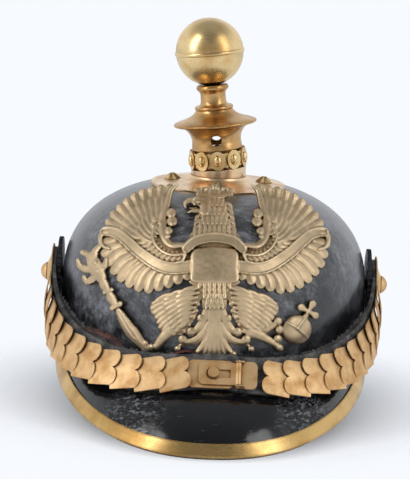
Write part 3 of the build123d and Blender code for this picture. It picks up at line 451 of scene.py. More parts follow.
class Leather:
    """Maker of the leather materials. Leather and its lacquers have an IOR near 1.5."""

    # Hide dyed black and grown dry: dark grey, dusty and matt.
    STRAP = HideFinish("strap_leather_dyed", "#262423", "#66635F", roughness=0.62)
    # Thin sheepskin, tanned brown and undyed: warm and matt, darker where it is handled.
    LINER = HideFinish("liner_leather_tanned", "#6B452A", "#8C623F", roughness=0.66)
    # Stamped leather with one coat of lacquer: black, with a low gloss.
    COCKADE = HideFinish("cockade_leather_lacquered", "#101013", "#2B2B31", roughness=0.34)
    # Cut sole leather, never finished: deep brown and quite matt.
    WASHER = HideFinish("washer_leather_cut", "#2C1C12", "#4A3322", roughness=0.7)
    # Torn edge of the strap's leather: its open fibres look black, with grey tips.
    FRAYED = HideFinish("frayed_strap_leather", "#141110", "#4A4744", roughness=0.6, grain_mm=0.6)
    # Lining that has come off with its red-brown flesh side outwards.
    PEELED = HideFinish("peeled_lining_leather", "#2A1512", "#6A3A33", roughness=0.7, grain_mm=0.6)

    @staticmethod
    def worn_lacquer() -> Material:
        """Boiled leather under black lacquer that has hazed, scuffed and cracked.

        It looks grey and cloudy over a black ground, with a soft wide gloss. One
        area low on the viewer's right has less haze, so it is darker.

        Returns:
            The material.
        """
        material = bpy.data.materials.new("worn_lacquered_leather")
        tree = ShaderTree(material)
        clouds = tree.noise(24.0, 8.0, 0.66)
        scuffs = tree.noise(3.4, 7.0, 0.75, tree.stretched((0.5, 1.0, 0.8), 20.0))
        haze = tree.times(tree.span(clouds, 0.38, 0.66), tree.span(scuffs, 0.38, 0.64, 0.12, 1.0))
        # One area low on the viewer's right gets less haze, so it is darker there.
        less_haze_spot = tree.near((0.078, -0.075, 0.035), 50.0)
        haze = tree.times(haze, tree.math("SUBTRACT", 1.0, tree.times(less_haze_spot, 0.75)))
        colour = tree.blend(haze, "#101113", "#7A7B80")
        # Flecks and scratches are drawn about 1 mm wide, three times their real width, so that they show.
        flecks = tree.span(tree.noise(1.1, 3.0, 0.75), 0.62, 0.72)
        colour = tree.blend(tree.times(flecks, 0.55), colour, "#8C8E93")
        scratches = tree.span(tree.noise(0.9, 2.0, 0.6, tree.stretched((0.05, 0.6, 1.0), 35.0)), 0.68, 0.74)
        colour = tree.blend(tree.times(scratches, 0.4), colour, "#9C9DA2")
        pits = tree.span(tree.noise(3.2, 2.0, 0.5), 0.7, 0.78)
        colour = tree.blend(tree.times(pits, 0.7), colour, "#0B0B0D")
        rough = tree.plus(tree.times(haze, 0.22), 0.3)
        normal = tree.bump(tree.noise(16.0, 3.0), 0.5)
        normal = tree.bump(tree.cells(1.3), 0.06, normal)
        normal = tree.bump(scuffs, 0.1, normal)
        shine = {"Coat Weight": 0.4, "Coat Roughness": 0.22, "IOR": 1.46}
        tree.surface({"Base Color": colour, "Roughness": rough, "Normal": normal, **shine})
        return material

    @staticmethod
    def patent() -> Material:
        """Patent leather: thick black lacquer on hide, brushed on in coats.

        It looks nearly black and wet. Where the visor has been bent, below both
        temples, the lacquer is creased, and its pale streaks there are partly lacquer
        worn grey and partly a painted highlight.

        Returns:
            The material.
        """
        material = bpy.data.materials.new("patent_leather_lacquered")
        tree = ShaderTree(material)
        wear = tree.span(tree.noise(9.0, 6.0, 0.7), 0.55, 0.78)
        colour = tree.blend(wear, "#0C0C0E", "#25252A")
        # Fine scratches are drawn 0.8 mm wide so that they show.
        scratches = tree.span(tree.noise(0.8, 2.0, 0.6, tree.stretched((0.06, 0.5, 1.0), 65.0)), 0.69, 0.74)
        colour = tree.blend(tree.times(scratches, 0.5), colour, "#6A6B72")
        rough = tree.plus(tree.times(wear, 0.16), 0.15)
        folds = tree.noise(6.0, 3.0, 0.6, tree.stretched((1.0, 0.5, 1.8), 35.0))
        folds = tree.math("ABSOLUTE", tree.math("SUBTRACT", folds, 0.5))
        folds = tree.span(folds, 0.0, 0.09)
        bent = tree.math("MAXIMUM", tree.near((-0.047, -0.137, -0.01), 27.0), tree.near((0.06, -0.13, -0.008), 28.0))
        # Pale streaks in the two creased patches: partly lacquer worn grey, partly a painted highlight where lamps
        # would catch the creases.
        rub_and_highlight = tree.span(tree.noise(1.7, 4.0, 0.7, tree.stretched((0.35, 0.6, 1.0), 20.0)), 0.5, 0.66)
        colour = tree.blend(tree.times(tree.times(rub_and_highlight, bent), 0.6), colour, "#9A9CA2")
        normal = tree.bump(tree.noise(26.0, 2.0), 0.8)
        normal = tree.bump(tree.times(folds, bent), 1.1, normal)
        normal = tree.bump(tree.noise(2.2, 3.0), 0.025, normal)
        shine = {"Coat Weight": 0.3, "Coat Roughness": 0.1, "IOR": 1.45}
        tree.surface({"Base Color": colour, "Roughness": rough, "Normal": normal, **shine})
        return material

    @staticmethod
    def plain(finish: HideFinish) -> Material:
        """Plain hide: nearly matt, with grain, fibres and uneven dye.

        Args:
            finish: How it was dyed and dressed.

        Returns:
            The material.
        """
        material = bpy.data.materials.new(finish.name)
        tree = ShaderTree(material)
        rub = tree.span(tree.noise(7.0, 6.0, 0.7), 0.4, 0.7)
        colour = tree.blend(rub, finish.dark, finish.light)
        # Hide fibres are finer than a hair. They are drawn 0.5 mm wide so that they show.
        fibres = tree.noise(0.5, 3.0, 0.7, tree.stretched((0.15, 1.0, 1.0), 15.0))
        rough = tree.span(fibres, 0.3, 0.7, finish.roughness - 0.06, finish.roughness + 0.08)
        normal = tree.bump(tree.cells(finish.grain_mm), 0.12, tree.soft_edges(0.3))
        normal = tree.bump(fibres, 0.08, normal)
        tree.surface({"Base Color": colour, "Roughness": rough, "Normal": normal, "IOR": 1.5})
        return material


@dataclass
class Wardrobe:
    """Gives every CAD node its finish.

    Attributes:
        nodes: CAD nodes by name.
        sharp_deg: Angle from which an edge of a node stays sharp.
    """

    nodes: dict[str, bpy.types.Object]
    sharp_deg: float = 32.0

    WORN_BY = {
        "worn_lacquer": ("skull_shell",),
        "patent": ("front_visor", "rear_visor"),
        "strap": ("left_strap_leather", "right_strap_leather"),
        "liner": ("sweatband", "liner_tongues"),
        "cockade": ("left_cockade", "right_cockade"),
        "washer": ("finial_washer",),
        "folded_trim_brass": ("front_visor_trim", "trim_end_studs", "rear_spine", "spine_stud"),
        "spun_copper_brass": ("base_plate", "neck_collar"),
        "spun_gilt_brass": ("pearl_ring", "ball_lower_half", "ball_upper_half", "ball_seam"),
        "spun_aged_brass": ("neck_flare", "finial_flange", "ball_stem"),
        "stamped_rose_brass": (
            "left_chin_scales", "right_chin_scales", "left_end_plate", "right_end_plate", "left_hook_stud",
            "hook_pin", "hook_tongue", "left_rosette", "right_rosette", "left_post_screw", "right_post_screw",
        ),
        "dull_cast_brass": (
            "base_plate_studs", "stud_washers", "ball_shank", "eagle_plate", "eagle_posts", "eagle_nuts",
            "left_post_nut", "right_post_nut",
        ),
    }

    @staticmethod
    def finishes() -> dict[str, Material]:
        """Makes every finish of the CAD nodes.

        Returns:
            The materials, by the names that WORN_BY uses.
        """
        made = {name: Brass.make(name) for name in Brass.FINISHES}
        made["worn_lacquer"] = Leather.worn_lacquer()
        made["patent"] = Leather.patent()
        made["strap"] = Leather.plain(Leather.STRAP)
        made["liner"] = Leather.plain(Leather.LINER)
        made["cockade"] = Leather.plain(Leather.COCKADE)
        made["washer"] = Leather.plain(Leather.WASHER)
        return made

    def dress(self) -> None:
        """Assigns the materials by what each node is."""
        finishes = self.finishes()
        for finish, names in self.WORN_BY.items():
            for name in names:
                shade(self.nodes[name].data, finishes[finish], self.sharp_deg)
        log.info("dressed %d nodes", sum(len(names) for names in self.WORN_BY.values()))


@dataclass(frozen=True)
class Dome:
    """Outer surface of the skull, as the solids have it, in millimetres.

    Attributes:
        half_width: Half of the skull's width where it is widest.
        half_length: Half of its length there.
        height: Height of its crown over the rim.
        widest_level: Height over the rim at which it is widest.
        rim_draw_in: How far it draws in from there to the rim.
        power: Fullness of the crown, where 2 would be a plain ellipse.
    """

    half_width: float = 95.0
    half_length: float = 112.0
    height: float = 106.0
    widest_level: float = 38.0
    rim_draw_in: float = 2.0
    power: float = 2.5

    def reach(self, level: np.ndarray, grow: float = 0.0) -> np.ndarray:
        """Half width of the dome at a level.

        Args:
            level: Heights over the rim.
            grow: How far the dome is grown outwards.

        Returns:
            The half width at each height.
        """
        wide = self.half_width + grow
        below = np.clip((self.widest_level - level) / self.widest_level, 0, None)
        above = np.clip((level - self.widest_level) / (self.height + grow - self.widest_level), 0, 1)
        crown = wide * (1 - above**self.power) ** (1 / self.power)
        return np.where(level < self.widest_level, wide - self.rim_draw_in * below**2, crown)

    def excess(self, x: np.ndarray, y: np.ndarray, level: np.ndarray, grow: float = 0.0) -> np.ndarray:
        """How far points lie outside the dome, measured across it.

        Args:
            x: Places across the helmet.
            y: Places along it.
            level: Heights over the rim.
            grow: How far the dome is grown outwards.

        Returns:
            The distance of each point, negative inside.
        """
        oval = (self.half_length + grow) / (self.half_width + grow)
        return np.hypot(x, y / oval) - self.reach(level, grow)


@dataclass(frozen=True)
class PressPlane:
    """Plane in front of the dome in which the plate is drawn, in millimetres.

    Attributes:
        lean_deg: How far its top leans back.
        turn_deg: How far the drawing is turned in it.
        centre: Place of the drawing's origin in the helmet's frame.
        lying_depth: Depth up to which the plate lies on the dome.
        standing_depth: How much deeper it goes at most, where it stands off the crown.
        search_depth: Depth within which the dome is looked for.
        halvings: Steps of that search.
    """

    lean_deg: float = 10.0
    turn_deg: float = 2.2
    centre: Place = (-0.7, -127.0, 84.0)
    lying_depth: float = 60.0
    standing_depth: float = 18.0
    search_depth: float = 128.0
    halvings: int = 26

    def points(self, u: np.ndarray, v: np.ndarray, depth: np.ndarray) -> np.ndarray:
        """Takes points of the drawing to the helmet's frame.

        Args:
            u: Places across the drawing.
            v: Places up the drawing.
            depth: Depths behind the plane.

        Returns:
            Their places, with x, y and z as the last axis.
        """
        turn, lean = math.radians(self.turn_deg), math.radians(self.lean_deg)
        across = u * math.cos(turn) - v * math.sin(turn)
        up = u * math.sin(turn) + v * math.cos(turn)
        x = self.centre[0] + across
        y = self.centre[1] + up * math.sin(lean) + depth * math.cos(lean)
        z = self.centre[2] + up * math.cos(lean) - depth * math.sin(lean)
        return np.stack([x, y, z], axis=-1)

    def support(self, u: np.ndarray, v: np.ndarray, dome: Dome, gap: float) -> np.ndarray:
        """Depth at which the plate's back lies behind the plane.

        The crown of the plate stands up before it would lie back on the dome.

        Args:
            u: Places across the drawing.
            v: Places up the drawing.
            dome: What the plate lies on.
            gap: Air that is left over the dome.

        Returns:
            The depth at each place.
        """
        near, far = np.zeros_like(u), np.full_like(u, self.search_depth)
        for _ in range(self.halvings):
            middle = (near + far) / 2
            x, y, z = np.moveaxis(self.points(u, v, middle), -1, 0)
            outside = dome.excess(x, y, z, gap) > 0
            near, far = np.where(outside, middle, near), np.where(outside, far, middle)
        beyond = np.clip(near - self.lying_depth, 0, None)
        return np.minimum(near, self.lying_depth) + self.standing_depth * (1 - np.exp(-beyond / self.standing_depth))


def smoothed(line: Points, closed: bool = False, parts: int = 6) -> np.ndarray:
    """Smooth line through points.

    Args:
        line: The points.
        closed: Whether the line comes back to its start.
        parts: Pieces between two points.

    Returns:
        Points of the smooth line, one a row.
    """
    ends = line[-1:] + line + line[:2] if closed else line[:1] + line + line[-1:]
    ring = np.array(ends, dtype=float)
    t = np.linspace(0, 1, parts, endpoint=False)[:, None]
    rows = []
    for a, b, c, d in zip(ring, ring[1:], ring[2:], ring[3:]):
        rows.append(((2 * b) + (c - a) * t + (2 * a - 5 * b + 4 * c - d) * t**2 + (3 * b - a - 3 * c + d) * t**3) / 2)
    points = np.concatenate(rows)
    return np.vstack([points, points[:1] if closed else ring[-1:]])


def along(line: Points, share: float) -> Point:
    """Point of a smooth line.

    Args:
        line: Points that the line goes through.
        share: Share of its length, from its start.

    Returns:
        The point.
    """
    points = smoothed(line)
    run = np.concatenate([[0], np.cumsum(np.hypot(*np.diff(points, axis=0).T))])
    return tuple(float(np.interp(share * run[-1], run, points[:, axis])) for axis in (0, 1))


class Relief:
    """Height field in which a pressed plate is drawn, a form at a time.

    Heights and places are millimetres. Where forms overlap, the higher one shows.

    Attributes:
        FAR_OUTSIDE: Distance inside the outline that a place starts with.
        HEM_HEIGHT: Height of the border where no form reaches it.
        QUILL_HALF: Half width of a feather's quill.
        BEAD_INSET: Distance of a band's edge ribs from its edge.
        BEAD_HALF: Half width of these ribs.
        BARB_PITCH: Distance between a feather's barbs.
        BARB_SLANT: How far a barb runs along the feather for each millimetre outwards.
    """

    FAR_OUTSIDE = -9.0
    HEM_HEIGHT = 0.7
    QUILL_HALF = 0.4
    BEAD_INSET = 0.65
    BEAD_HALF = 0.45
    BARB_PITCH = 1.3
    BARB_SLANT = 1.2

    def __init__(self, low: Point, high: Point, step: float) -> None:
        """Lays out an empty field.

        Args:
            low: Lowest corner of the drawing.
            high: Highest corner.
            step: Distance between two places of the field.
        """
        self.u, self.v = np.meshgrid(np.arange(low[0], high[0], step), np.arange(low[1], high[1], step))
        self.low, self.step = low, step
        self.edge = np.full(self.u.shape, self.FAR_OUTSIDE)
        self.height = np.zeros(self.u.shape)
        self.hem = np.full(self.u.shape, self.HEM_HEIGHT)

    def window(self, points: np.ndarray, margin: float) -> Window:
        """Finds the part of the field round some points.

        Args:
            points: The points.
            margin: Space round them.

        Returns:
            Its rows and columns.
        """
        spans = []
        for axis in (1, 0):
            first = int((points[:, axis].min() - margin - self.low[axis]) / self.step)
            last = int((points[:, axis].max() + margin - self.low[axis]) / self.step) + 2
            spans.append(slice(max(first, 0), min(last, self.u.shape[1 - axis])))
        return spans[0], spans[1]

    def nearest(self, points: np.ndarray, halves: np.ndarray, part: Window) -> dict[str, np.ndarray]:
        """For each place of a window, how it lies to the nearest stretch of a line.

        Args:
            points: Points of the line.
            halves: Half width of the line at each of them.
            part: The window.

        Returns:
            Distance away, half width there, side, and length passed along the line.
        """
        u, v = self.u[part][..., None], self.v[part][..., None]
        run = np.diff(points, axis=0)
        length = np.maximum(np.hypot(run[:, 0], run[:, 1]), 1e-6)
        share = ((u - points[:-1, 0]) * run[:, 0] + (v - points[:-1, 1]) * run[:, 1]) / length**2
        share = np.clip(share, 0, 1)
        du, dv = u - points[:-1, 0] - share * run[:, 0], v - points[:-1, 1] - share * run[:, 1]
        away = np.hypot(du, dv)
        half = halves[:-1] + np.diff(halves) * share
        side = np.sign(run[:, 0] * dv - run[:, 1] * du)
        passed = np.concatenate([[0], np.cumsum(length)[:-1]]) + share * length
        pick = np.argmin(away - half, axis=-1)[..., None]
        values = {"away": away, "half": half, "side": side, "passed": passed}
        return {name: np.take_along_axis(value, pick, -1)[..., 0] for name, value in values.items()}

    def lay(self, part: Window, inside: np.ndarray, height: np.ndarray) -> None:
        """Lays a form on the field.

        Args:
            part: Window that the form is in.
            inside: Distance of each place inside the outline.
            height: Height of the form at each place.
        """
        self.height[part] = np.where(inside > 0, np.maximum(self.height[part], height), self.height[part])
        self.hem[part] = np.where(inside > self.edge[part], height, self.hem[part])
        self.edge[part] = np.maximum(self.edge[part], inside)

    def stroke(self, line: Points, widths: list[float], base: float, rise: float, quill: float = 0.0,
               barbs: float = 0.0, lean: float = 0.0, bead: float = 0.0, climb: float = 0.0) -> None:
        """Draws a rounded band along a line.

        Args:
            line: Points of its middle line.
            widths: Half widths, evenly spread along it.
            base: Height of its edges.
            rise: Height of its middle over its edges.
            quill: Height of a fine rib along the middle.
            barbs: Depth of the fine slanting lines of a feather.
            lean: Share by which one side is higher than the other.
            bead: Height of a fine rib along each edge.
            climb: Height that it gains from its start to its end.
        """
        points = smoothed(line)
        halves = np.interp(np.linspace(0, 1, len(points)), np.linspace(0, 1, len(widths)), widths)
        part = self.window(points, max(widths) + 1)
        near = self.nearest(points, halves, part)
        away, half, passed = near["away"], near["half"], near["passed"]
        share = np.clip(away / half, 0, 1)
        height = base + rise * np.sqrt(1 - share**2) * (1 + lean * near["side"] * share)
        height += quill * np.exp(-((away / self.QUILL_HALF) ** 2)) + climb * passed / passed.max()
        height += bead * np.exp(-(((half - away - self.BEAD_INSET) / self.BEAD_HALF) ** 2))
        height -= barbs * (0.5 - 0.5 * np.cos(math.tau * (passed + self.BARB_SLANT * away) / self.BARB_PITCH))
        self.lay(part, half - away, height)

    def pad(self, outline: Points, base: float, rise: float, edge: float) -> None:
        """Draws a cushion inside a smooth closed outline.

        Args:
            outline: Points of the outline.
            base: Height of its border.
            rise: Height of its middle over the border.
            edge: Width of the rounding along the border.
        """
        points = smoothed(outline, closed=True)
        part = self.window(points, 1.0)
        near = self.nearest(points, np.zeros(len(points)), part)
        u, v = self.u[part][..., None], self.v[part][..., None]
        (x0, y0), (x1, y1) = points[:-1].T, points[1:].T
        crosses = (y0 > v) != (y1 > v)
        slope = (x1 - x0) / np.where(y1 == y0, 1e-9, y1 - y0)
        odd = (crosses & (u < x0 + (v - y0) * slope)).sum(axis=-1) % 2 == 1
        inside = np.where(odd, near["away"], -near["away"])
        share = np.clip(inside / edge, 0, 1)
        self.lay(part, inside, base + rise * np.sqrt(1 - (1 - share) ** 2))

    def balls(self, spots: list[tuple[float, float, float]], base: float, rise: float, side: int = 1) -> None:
        """Draws round bosses.

        Args:
            spots: Place and radius of each, as drawn on the viewer's right half.
            base: Height of their borders.
            rise: Height of their middles over the border.
            side: One, or minus one for the mirror image.
        """
        for x, y, radius in spots:
            centre = x * side
            self.stroke([(centre, y), (centre + 0.05, y)], [radius], base, rise)

    def ridge(self, line: Points, half: float, rise: float) -> None:
        """Adds a fine rib to the heights that are there.

        Args:
            line: Points of its middle line.
            half: Its half width.
            rise: Its height, or a groove's depth where negative.
        """
        points = smoothed(line)
        part = self.window(points, 3 * half)
        near = self.nearest(points, np.zeros(len(points)), part)
        self.height[part] += rise * np.exp(-((near["away"] / half) ** 2))

    @staticmethod
    def softened(field: np.ndarray, times: int) -> np.ndarray:
        """Blurs a field with a small even filter.

        Args:
            field: The field.
            times: How often it is blurred.

        Returns:
            The blurred field.
        """
        for _ in range(times):
            wide = np.pad(field, 1, mode="edge")
            field = (wide[:-2, 1:-1] + wide[2:, 1:-1] + wide[1:-1, :-2] + wide[1:-1, 2:] + 2 * field) / 6
        return field


@dataclass
class EaglePlate:
    """Pressed front plate: a spread eagle with crown, sceptre, orb and bare ribbon, in millimetres.

    Its lines are drawn flat, as seen from the front, with the origin at the
    middle of the breast. A side of one is the viewer's right half, and of minus
    one its mirror image.

    Attributes:
        step: Distance between two places of the drawing.
        low: Lowest corner of the drawing.
        high: Highest corner.
        gap: Air between the plate and the lacquer.
        cavity_passes: Blurs that tell ridges and hollows from the forms that carry them.
        rim_kept: Steps outside the outline up to which a place still belongs to the plate.
        rim_moved: Steps from the outline up to which a place is moved onto it.
        most_stretch: How much higher the relief gets at most on the dome's steep sides.
        sharp_deg: Angle from which an edge stays sharp.
    """

    step: float = 0.36
    low: Point = (-84.0, -65.0)
    high: Point = (72.0, 43.0)
    gap: float = 0.4
    cavity_passes: int = 14
    rim_kept: float = 0.45
    rim_moved: float = 0.9
    most_stretch: float = 2.0
    sharp_deg: float = 60.0

    def __post_init__(self) -> None:
        """Lays out the empty drawing, and the plane and dome that it is pressed between."""
        self.relief = Relief(self.low, self.high, self.step)
        self.dome, self.plane = Dome(), PressPlane()

    @staticmethod
    def turned(line: Points, side: int) -> Points:
        """A line of the viewer's right half, or its mirror image."""
        return [(x * side, y) for x, y in line]

    def fan(self, roots: Points, tips: Points, count: int, widths: list[float], base: float, rise: float, side: int,
            quill: float = 0.22, bow: float = 0.08) -> None:
        """Draws feathers side by side.

        Args:
            roots: Line on which they start.
            tips: Line on which they end.
            count: How many there are.
            widths: Half widths of each, from root to tip.
            base: Height of their edges.
            rise: Height of their middles over their edges.
            side: Half of the plate.
            quill: Height of their quills.
            bow: Share of its length by which each bends to one side.
        """
        for i in range(count):
            root, tip = along(roots, i / (count - 1)), along(tips, i / (count - 1))
            across, up = tip[0] - root[0], tip[1] - root[1]
            middle = ((root[0] + tip[0]) / 2 + bow * up, (root[1] + tip[1]) / 2 - bow * across)
            line = self.turned([root, middle, tip], side)
            self.relief.stroke(line, widths, base, rise, quill=quill, barbs=0.14, lean=0.35 * side)

    def rows(self, low: float, high: float, half_widths: list[float], base: float) -> None:
        """Draws rows of small overlapping pointed feathers.

        Args:
            low: Level of the lowest row.
            high: Level of the highest row.
            half_widths: Half widths of the rows, evenly spread from low to high.
            base: Height of the feathers' tips.
        """
        row_pitch, feather_pitch = 2.5, 1.4
        count = int((high - low) / row_pitch)
        for row in range(count + 1):
            level = low + row * (high - low) / count
            half = float(np.interp(row / count, np.linspace(0, 1, len(half_widths)), half_widths))
            feathers, shifted = max(2, round(half / feather_pitch)), row % 2
            for i in range(feathers + 1 - shifted):
                x = (i + shifted / 2) / feathers * 2 * half - half
                line = [(x * 0.9, level + 3.2), (x, level - 1.8)]
                self.relief.stroke(line, [0.8, 1.3, 1.2, 0.4], base - 0.6, 0.6, quill=0.2, climb=1.0)

    def wing(self, side: int) -> None:
        """Draws one wing: sheet, flight feathers, coverts, arm and clover stem.

        Args:
            side: Half of the plate.
        """
        sheet = [
            (13, -3), (14, 5), (20, 3), (26, 4), (29, 10), (29, 20), (26, 27), (25.5, 33), (24, 38), (30, 37.5),
            (40, 35.5), (50, 31), (58, 25), (63, 17.5), (66.5, 9), (66, 0), (62, -9), (57, -14.5), (50, -19.5),
            (40, -21.5), (30, -19), (20, -15), (14, -12.5),
        ]
        self.relief.pad(self.turned(sheet, side), 0.7, 0.5, 3.0)
        outer = [(27, 37.5), (36, 36.5), (46, 33.5), (54.5, 27.5), (61.5, 20), (65.5, 11.5)]
        self.fan([(29, 20), (36, 20), (44, 14), (50, 9)], outer, 10, [1.2, 2.4, 3.0, 3.1, 2.7], 0.9, 1.0, side)
        under = [(67, 4), (64.5, -5), (59.5, -12.5), (51.5, -19), (40, -22.6), (28, -19.6), (16, -14.6)]
        self.fan([(60, 6), (52, 0), (44, -7), (34, -11), (24, -12.5), (15, -11)], under, 12, [1.4, 2.6, 3.1, 2.7],
                 0.9, 1.0, side, bow=-0.08)
        middle = [(31, 31), (39, 29.5), (46, 25.5), (52, 19.5), (55, 12.5)]
        self.fan([(29, 16), (34, 15), (38, 11), (41, 7)], middle, 9, [1.0, 1.9, 2.5, 2.2], 1.5, 1.0, side)
        inner = [(31, 24.5), (37, 22.5), (42.5, 17.5), (46, 11)]
        self.fan([(29, 13), (32, 12), (34, 9), (37, 5)], inner, 7, [0.9, 1.7, 2.1, 1.8], 2.1, 0.9, side)
        brackets = [(21, -6), (29, -5.2), (37, -1.5), (45, 4)]
        self.fan([(19, -1), (27, -0.5), (33, 4), (36, 9)], brackets, 9, [1.0, 1.3, 1.5, 1.2], 1.5, 0.8, side, quill=0.1)
        arm = [(15, 3.5), (20, 3.2), (25, 3), (28.5, 5.5), (30.5, 10), (31.3, 16), (30.6, 22), (28.6, 27), (27.6, 32),
               (26, 36.5), (22.5, 39.5)]
        self.relief.stroke(self.turned(arm, side), [1.2, 1.6, 1.9, 2.3, 2.5, 2.4, 2.1, 1.9, 1.7, 1.5, 0.7], 2.0, 1.7)
        knots = [(26.0, 22.0, 3.1), (25.2, 17.2, 3.2), (27.2, 11.6, 2.5), (27.6, 8.4, 1.7)]
        self.relief.balls(knots, 2.0, 2.3, side)
        stem = [(18.5, -2), (23, -2.6), (27.5, -2), (32, 0.5), (35, 4), (36.5, 8), (36, 12), (34.5, 15)]
        self.relief.stroke(self.turned(stem, side), [0.8, 0.9], 3.0, 0.7)
        clover = [(32.2, 16.6, 1.8), (35.8, 18.2, 1.8), (36.6, 15.2, 1.8)]
        self.relief.balls(clover, 2.7, 1.3, side)

    def ribbon(self, side: int) -> None:
        """Draws one half of the bare ribbon, with its curled end and its fold at the block.

        Args:
            side: Half of the plate.
        """
        line = [(14, -9), (22, -10.2), (29, -9.8), (35, -7.5), (40.5, -4), (46, 0), (51.5, 5), (57, 9.3), (62.5, 11.2),
                (66, 11)]
        self.relief.stroke(self.turned(line, side), [3.8, 3.7, 3.5, 3.3, 2.9], 2.7, 0.1, bead=0.9)
        curl = [(65, 11.6), (68, 9), (68.2, 5), (66, 2), (62.5, 1)]
        self.relief.stroke(self.turned(curl, side), [2.0, 1.7, 1.4, 1.1, 0.8], 2.2, 1.0)
        fold = [(16.3, 2), (17.3, -2.5), (19, -6), (22.5, -7)]
        self.relief.stroke(self.turned(fold, side), [1.4, 1.0, 0.8, 0.6], 3.2, 0.8)

    def band(self) -> None:
        """Draws the arched bare band and the bare block below it."""
        block = [(-13.6, -0.5), (-7, 1.6), (0, 2.2), (7, 1.6), (13.6, -0.5), (13.9, -10), (13.2, -18), (0, -18.6),
                 (-13.2, -18), (-13.9, -10)]
        self.relief.pad(block, 2.9, 0.9, 2.2)
        arch = [(-16.3, 1.4), (-12, 5.2), (-6, 7.2), (0, 7.8), (6, 7.2), (12, 5.2), (16.3, 1.4)]
        self.relief.stroke(arch, [3.0, 3.1, 3.1, 3.0], 4.1, 0.1, bead=0.9)

    def neck(self) -> None:
        """Draws neck and breast with their small feathers and ragged sides."""
        outline = [(-5, 34), (5, 34), (7.6, 27), (8.6, 19.5), (10.6, 13.5), (14.5, 9), (16, 2), (-16, 2), (-14.5, 9),
                   (-11.5, 13.5), (-9, 19), (-8, 25)]
        self.relief.pad(outline, 1.2, 1.5, 6.0)
        self.rows(9.5, 31.0, [12.0, 9.0, 7.6, 6.6, 6.0, 5.0], 2.9)
        for side in (-1, 1):
            for level in (27.5, 24, 20.5, 17, 13.5):
                if side > 0 or level < 23:
                    root = 7.2 + 0.16 * (27.5 - level)
                    line = self.turned([(root, level + 1), (root + 2.2, level - 0.6), (root + 3, level - 2.6)], side)
                    self.relief.stroke(line, [1.3, 1.1, 0.5], 1.6, 1.0, quill=0.15)

    def head(self) -> None:
        """Draws the head in profile with its open beak, eye and brow."""
        face = [(-3, 33), (-9, 33), (-13.5, 31), (-13, 27.4), (-9.5, 26.6), (-8.6, 24), (-9, 21.5), (-3, 22)]
        self.relief.pad(face, 3.0, 1.8, 3.2)
        self.relief.stroke([(-12, 30), (-15.5, 29.6), (-17.6, 28), (-17.3, 25.4)], [1.7, 1.6, 1.2, 0.5], 2.6, 1.8)
        self.relief.stroke([(-9.5, 23.6), (-13, 23.4), (-15.6, 22.5)], [1.4, 1.2, 0.5], 2.4, 1.4)
        self.relief.stroke([(-10.5, 25.8), (-13, 25.2), (-14.8, 25.3)], [0.5, 0.5, 0.35], 1.8, 0.6)
        self.relief.stroke([(-7, 31), (-9.6, 31.2), (-12.4, 30.4)], [0.7, 0.8, 0.5], 4.6, 0.8)
        self.relief.balls([(-9.7, 29.0, 1.0)], 4.6, 0.9)
        self.relief.ridge([(-8.2, 28.2), (-9.7, 27.5), (-11.2, 28.2)], 0.4, -0.8)

    def crown(self) -> None:
        """Draws the crown with its circlet, arches and pearls."""
        outline = [(-9.8, 32.8), (-11, 35.5), (-9, 37.6), (-5.5, 36.6), (-3, 38.2), (0, 38.8), (3, 38.2), (5.5, 36.6),
                   (9, 37.6), (11, 35.5), (9.8, 32.8), (0, 31.8)]
        self.relief.pad(outline, 2.2, 1.0, 1.6)
        self.relief.stroke([(-9.8, 33.6), (0, 32.5), (9.8, 33.6)], [1.3], 3.4, 0.8, bead=0.3)
        for x in (-7.5, -2.6, 2.6, 7.5):
            self.relief.stroke([(x, 34), (x * 1.18, 36.2), (x * 0.9, 37.6)], [0.8, 0.7, 0.7], 3.2, 0.9)
        pearls = [(-10.4, 36.2, 1.7), (10.4, 36.2, 1.7), (-5.2, 37.2, 1.3), (5.2, 37.2, 1.3), (0, 38.4, 1.8)]
        self.relief.balls(pearls, 2.8, 1.5)

    def leg(self, side: int) -> None:
        """Draws one feathered thigh.

        Args:
            side: Half of the plate.
        """
        thigh = [(11, -19.5), (17.5, -24), (24.5, -26.6), (32.5, -28), (37, -31.5), (37.5, -35.5), (34.5, -40),
                 (31.5, -44), (30.5, -49), (23, -49.5), (18, -48.5), (14.5, -44), (10.5, -38.5), (9.5, -32.5),
                 (8, -28.5), (5, -21.5)]
        self.relief.pad(self.turned(thigh, side), 0.9, 1.2, 6.0)
        roots = [(9, -21.5), (9.5, -25), (10.5, -29), (12, -35), (15, -41)]
        tips = [(33.5, -29.2), (36.5, -33), (33.5, -40), (31, -46), (24, -49)]
        for ring, (start, stop) in enumerate(((0.5, 1.0), (0.25, 0.72), (0.0, 0.45))):
            inner = [along([r, t], start) for r, t in zip(roots, tips)]
            outer = [along([r, t], stop) for r, t in zip(roots, tips)]
            self.fan(inner, outer, 10 - ring, [0.9, 1.5, 1.7, 1.2], 1.7 + 0.5 * ring, 0.7, side, quill=0.12, bow=-0.07)
        for x, y in ((9.6, -31), (10.6, -35), (12.4, -39), (14.8, -43), (17.6, -47)):
            self.relief.stroke(self.turned([(x + 2.4, y + 2), (x, y)], side), [1.4, 1.3], 1.6, 0.9)

    def body(self) -> None:
        """Draws the lower body between the legs."""
        outline = [(-14, -17), (14, -17), (9.5, -23), (7.5, -28.5), (6.6, -34), (0, -36), (-6.6, -34), (-7.5, -28.5),
                   (-9.5, -23)]
        self.relief.pad(outline, 1.2, 1.3, 5.0)
        self.rows(-32.0, -20.0, [5.0, 6.2, 9.0], 2.8)

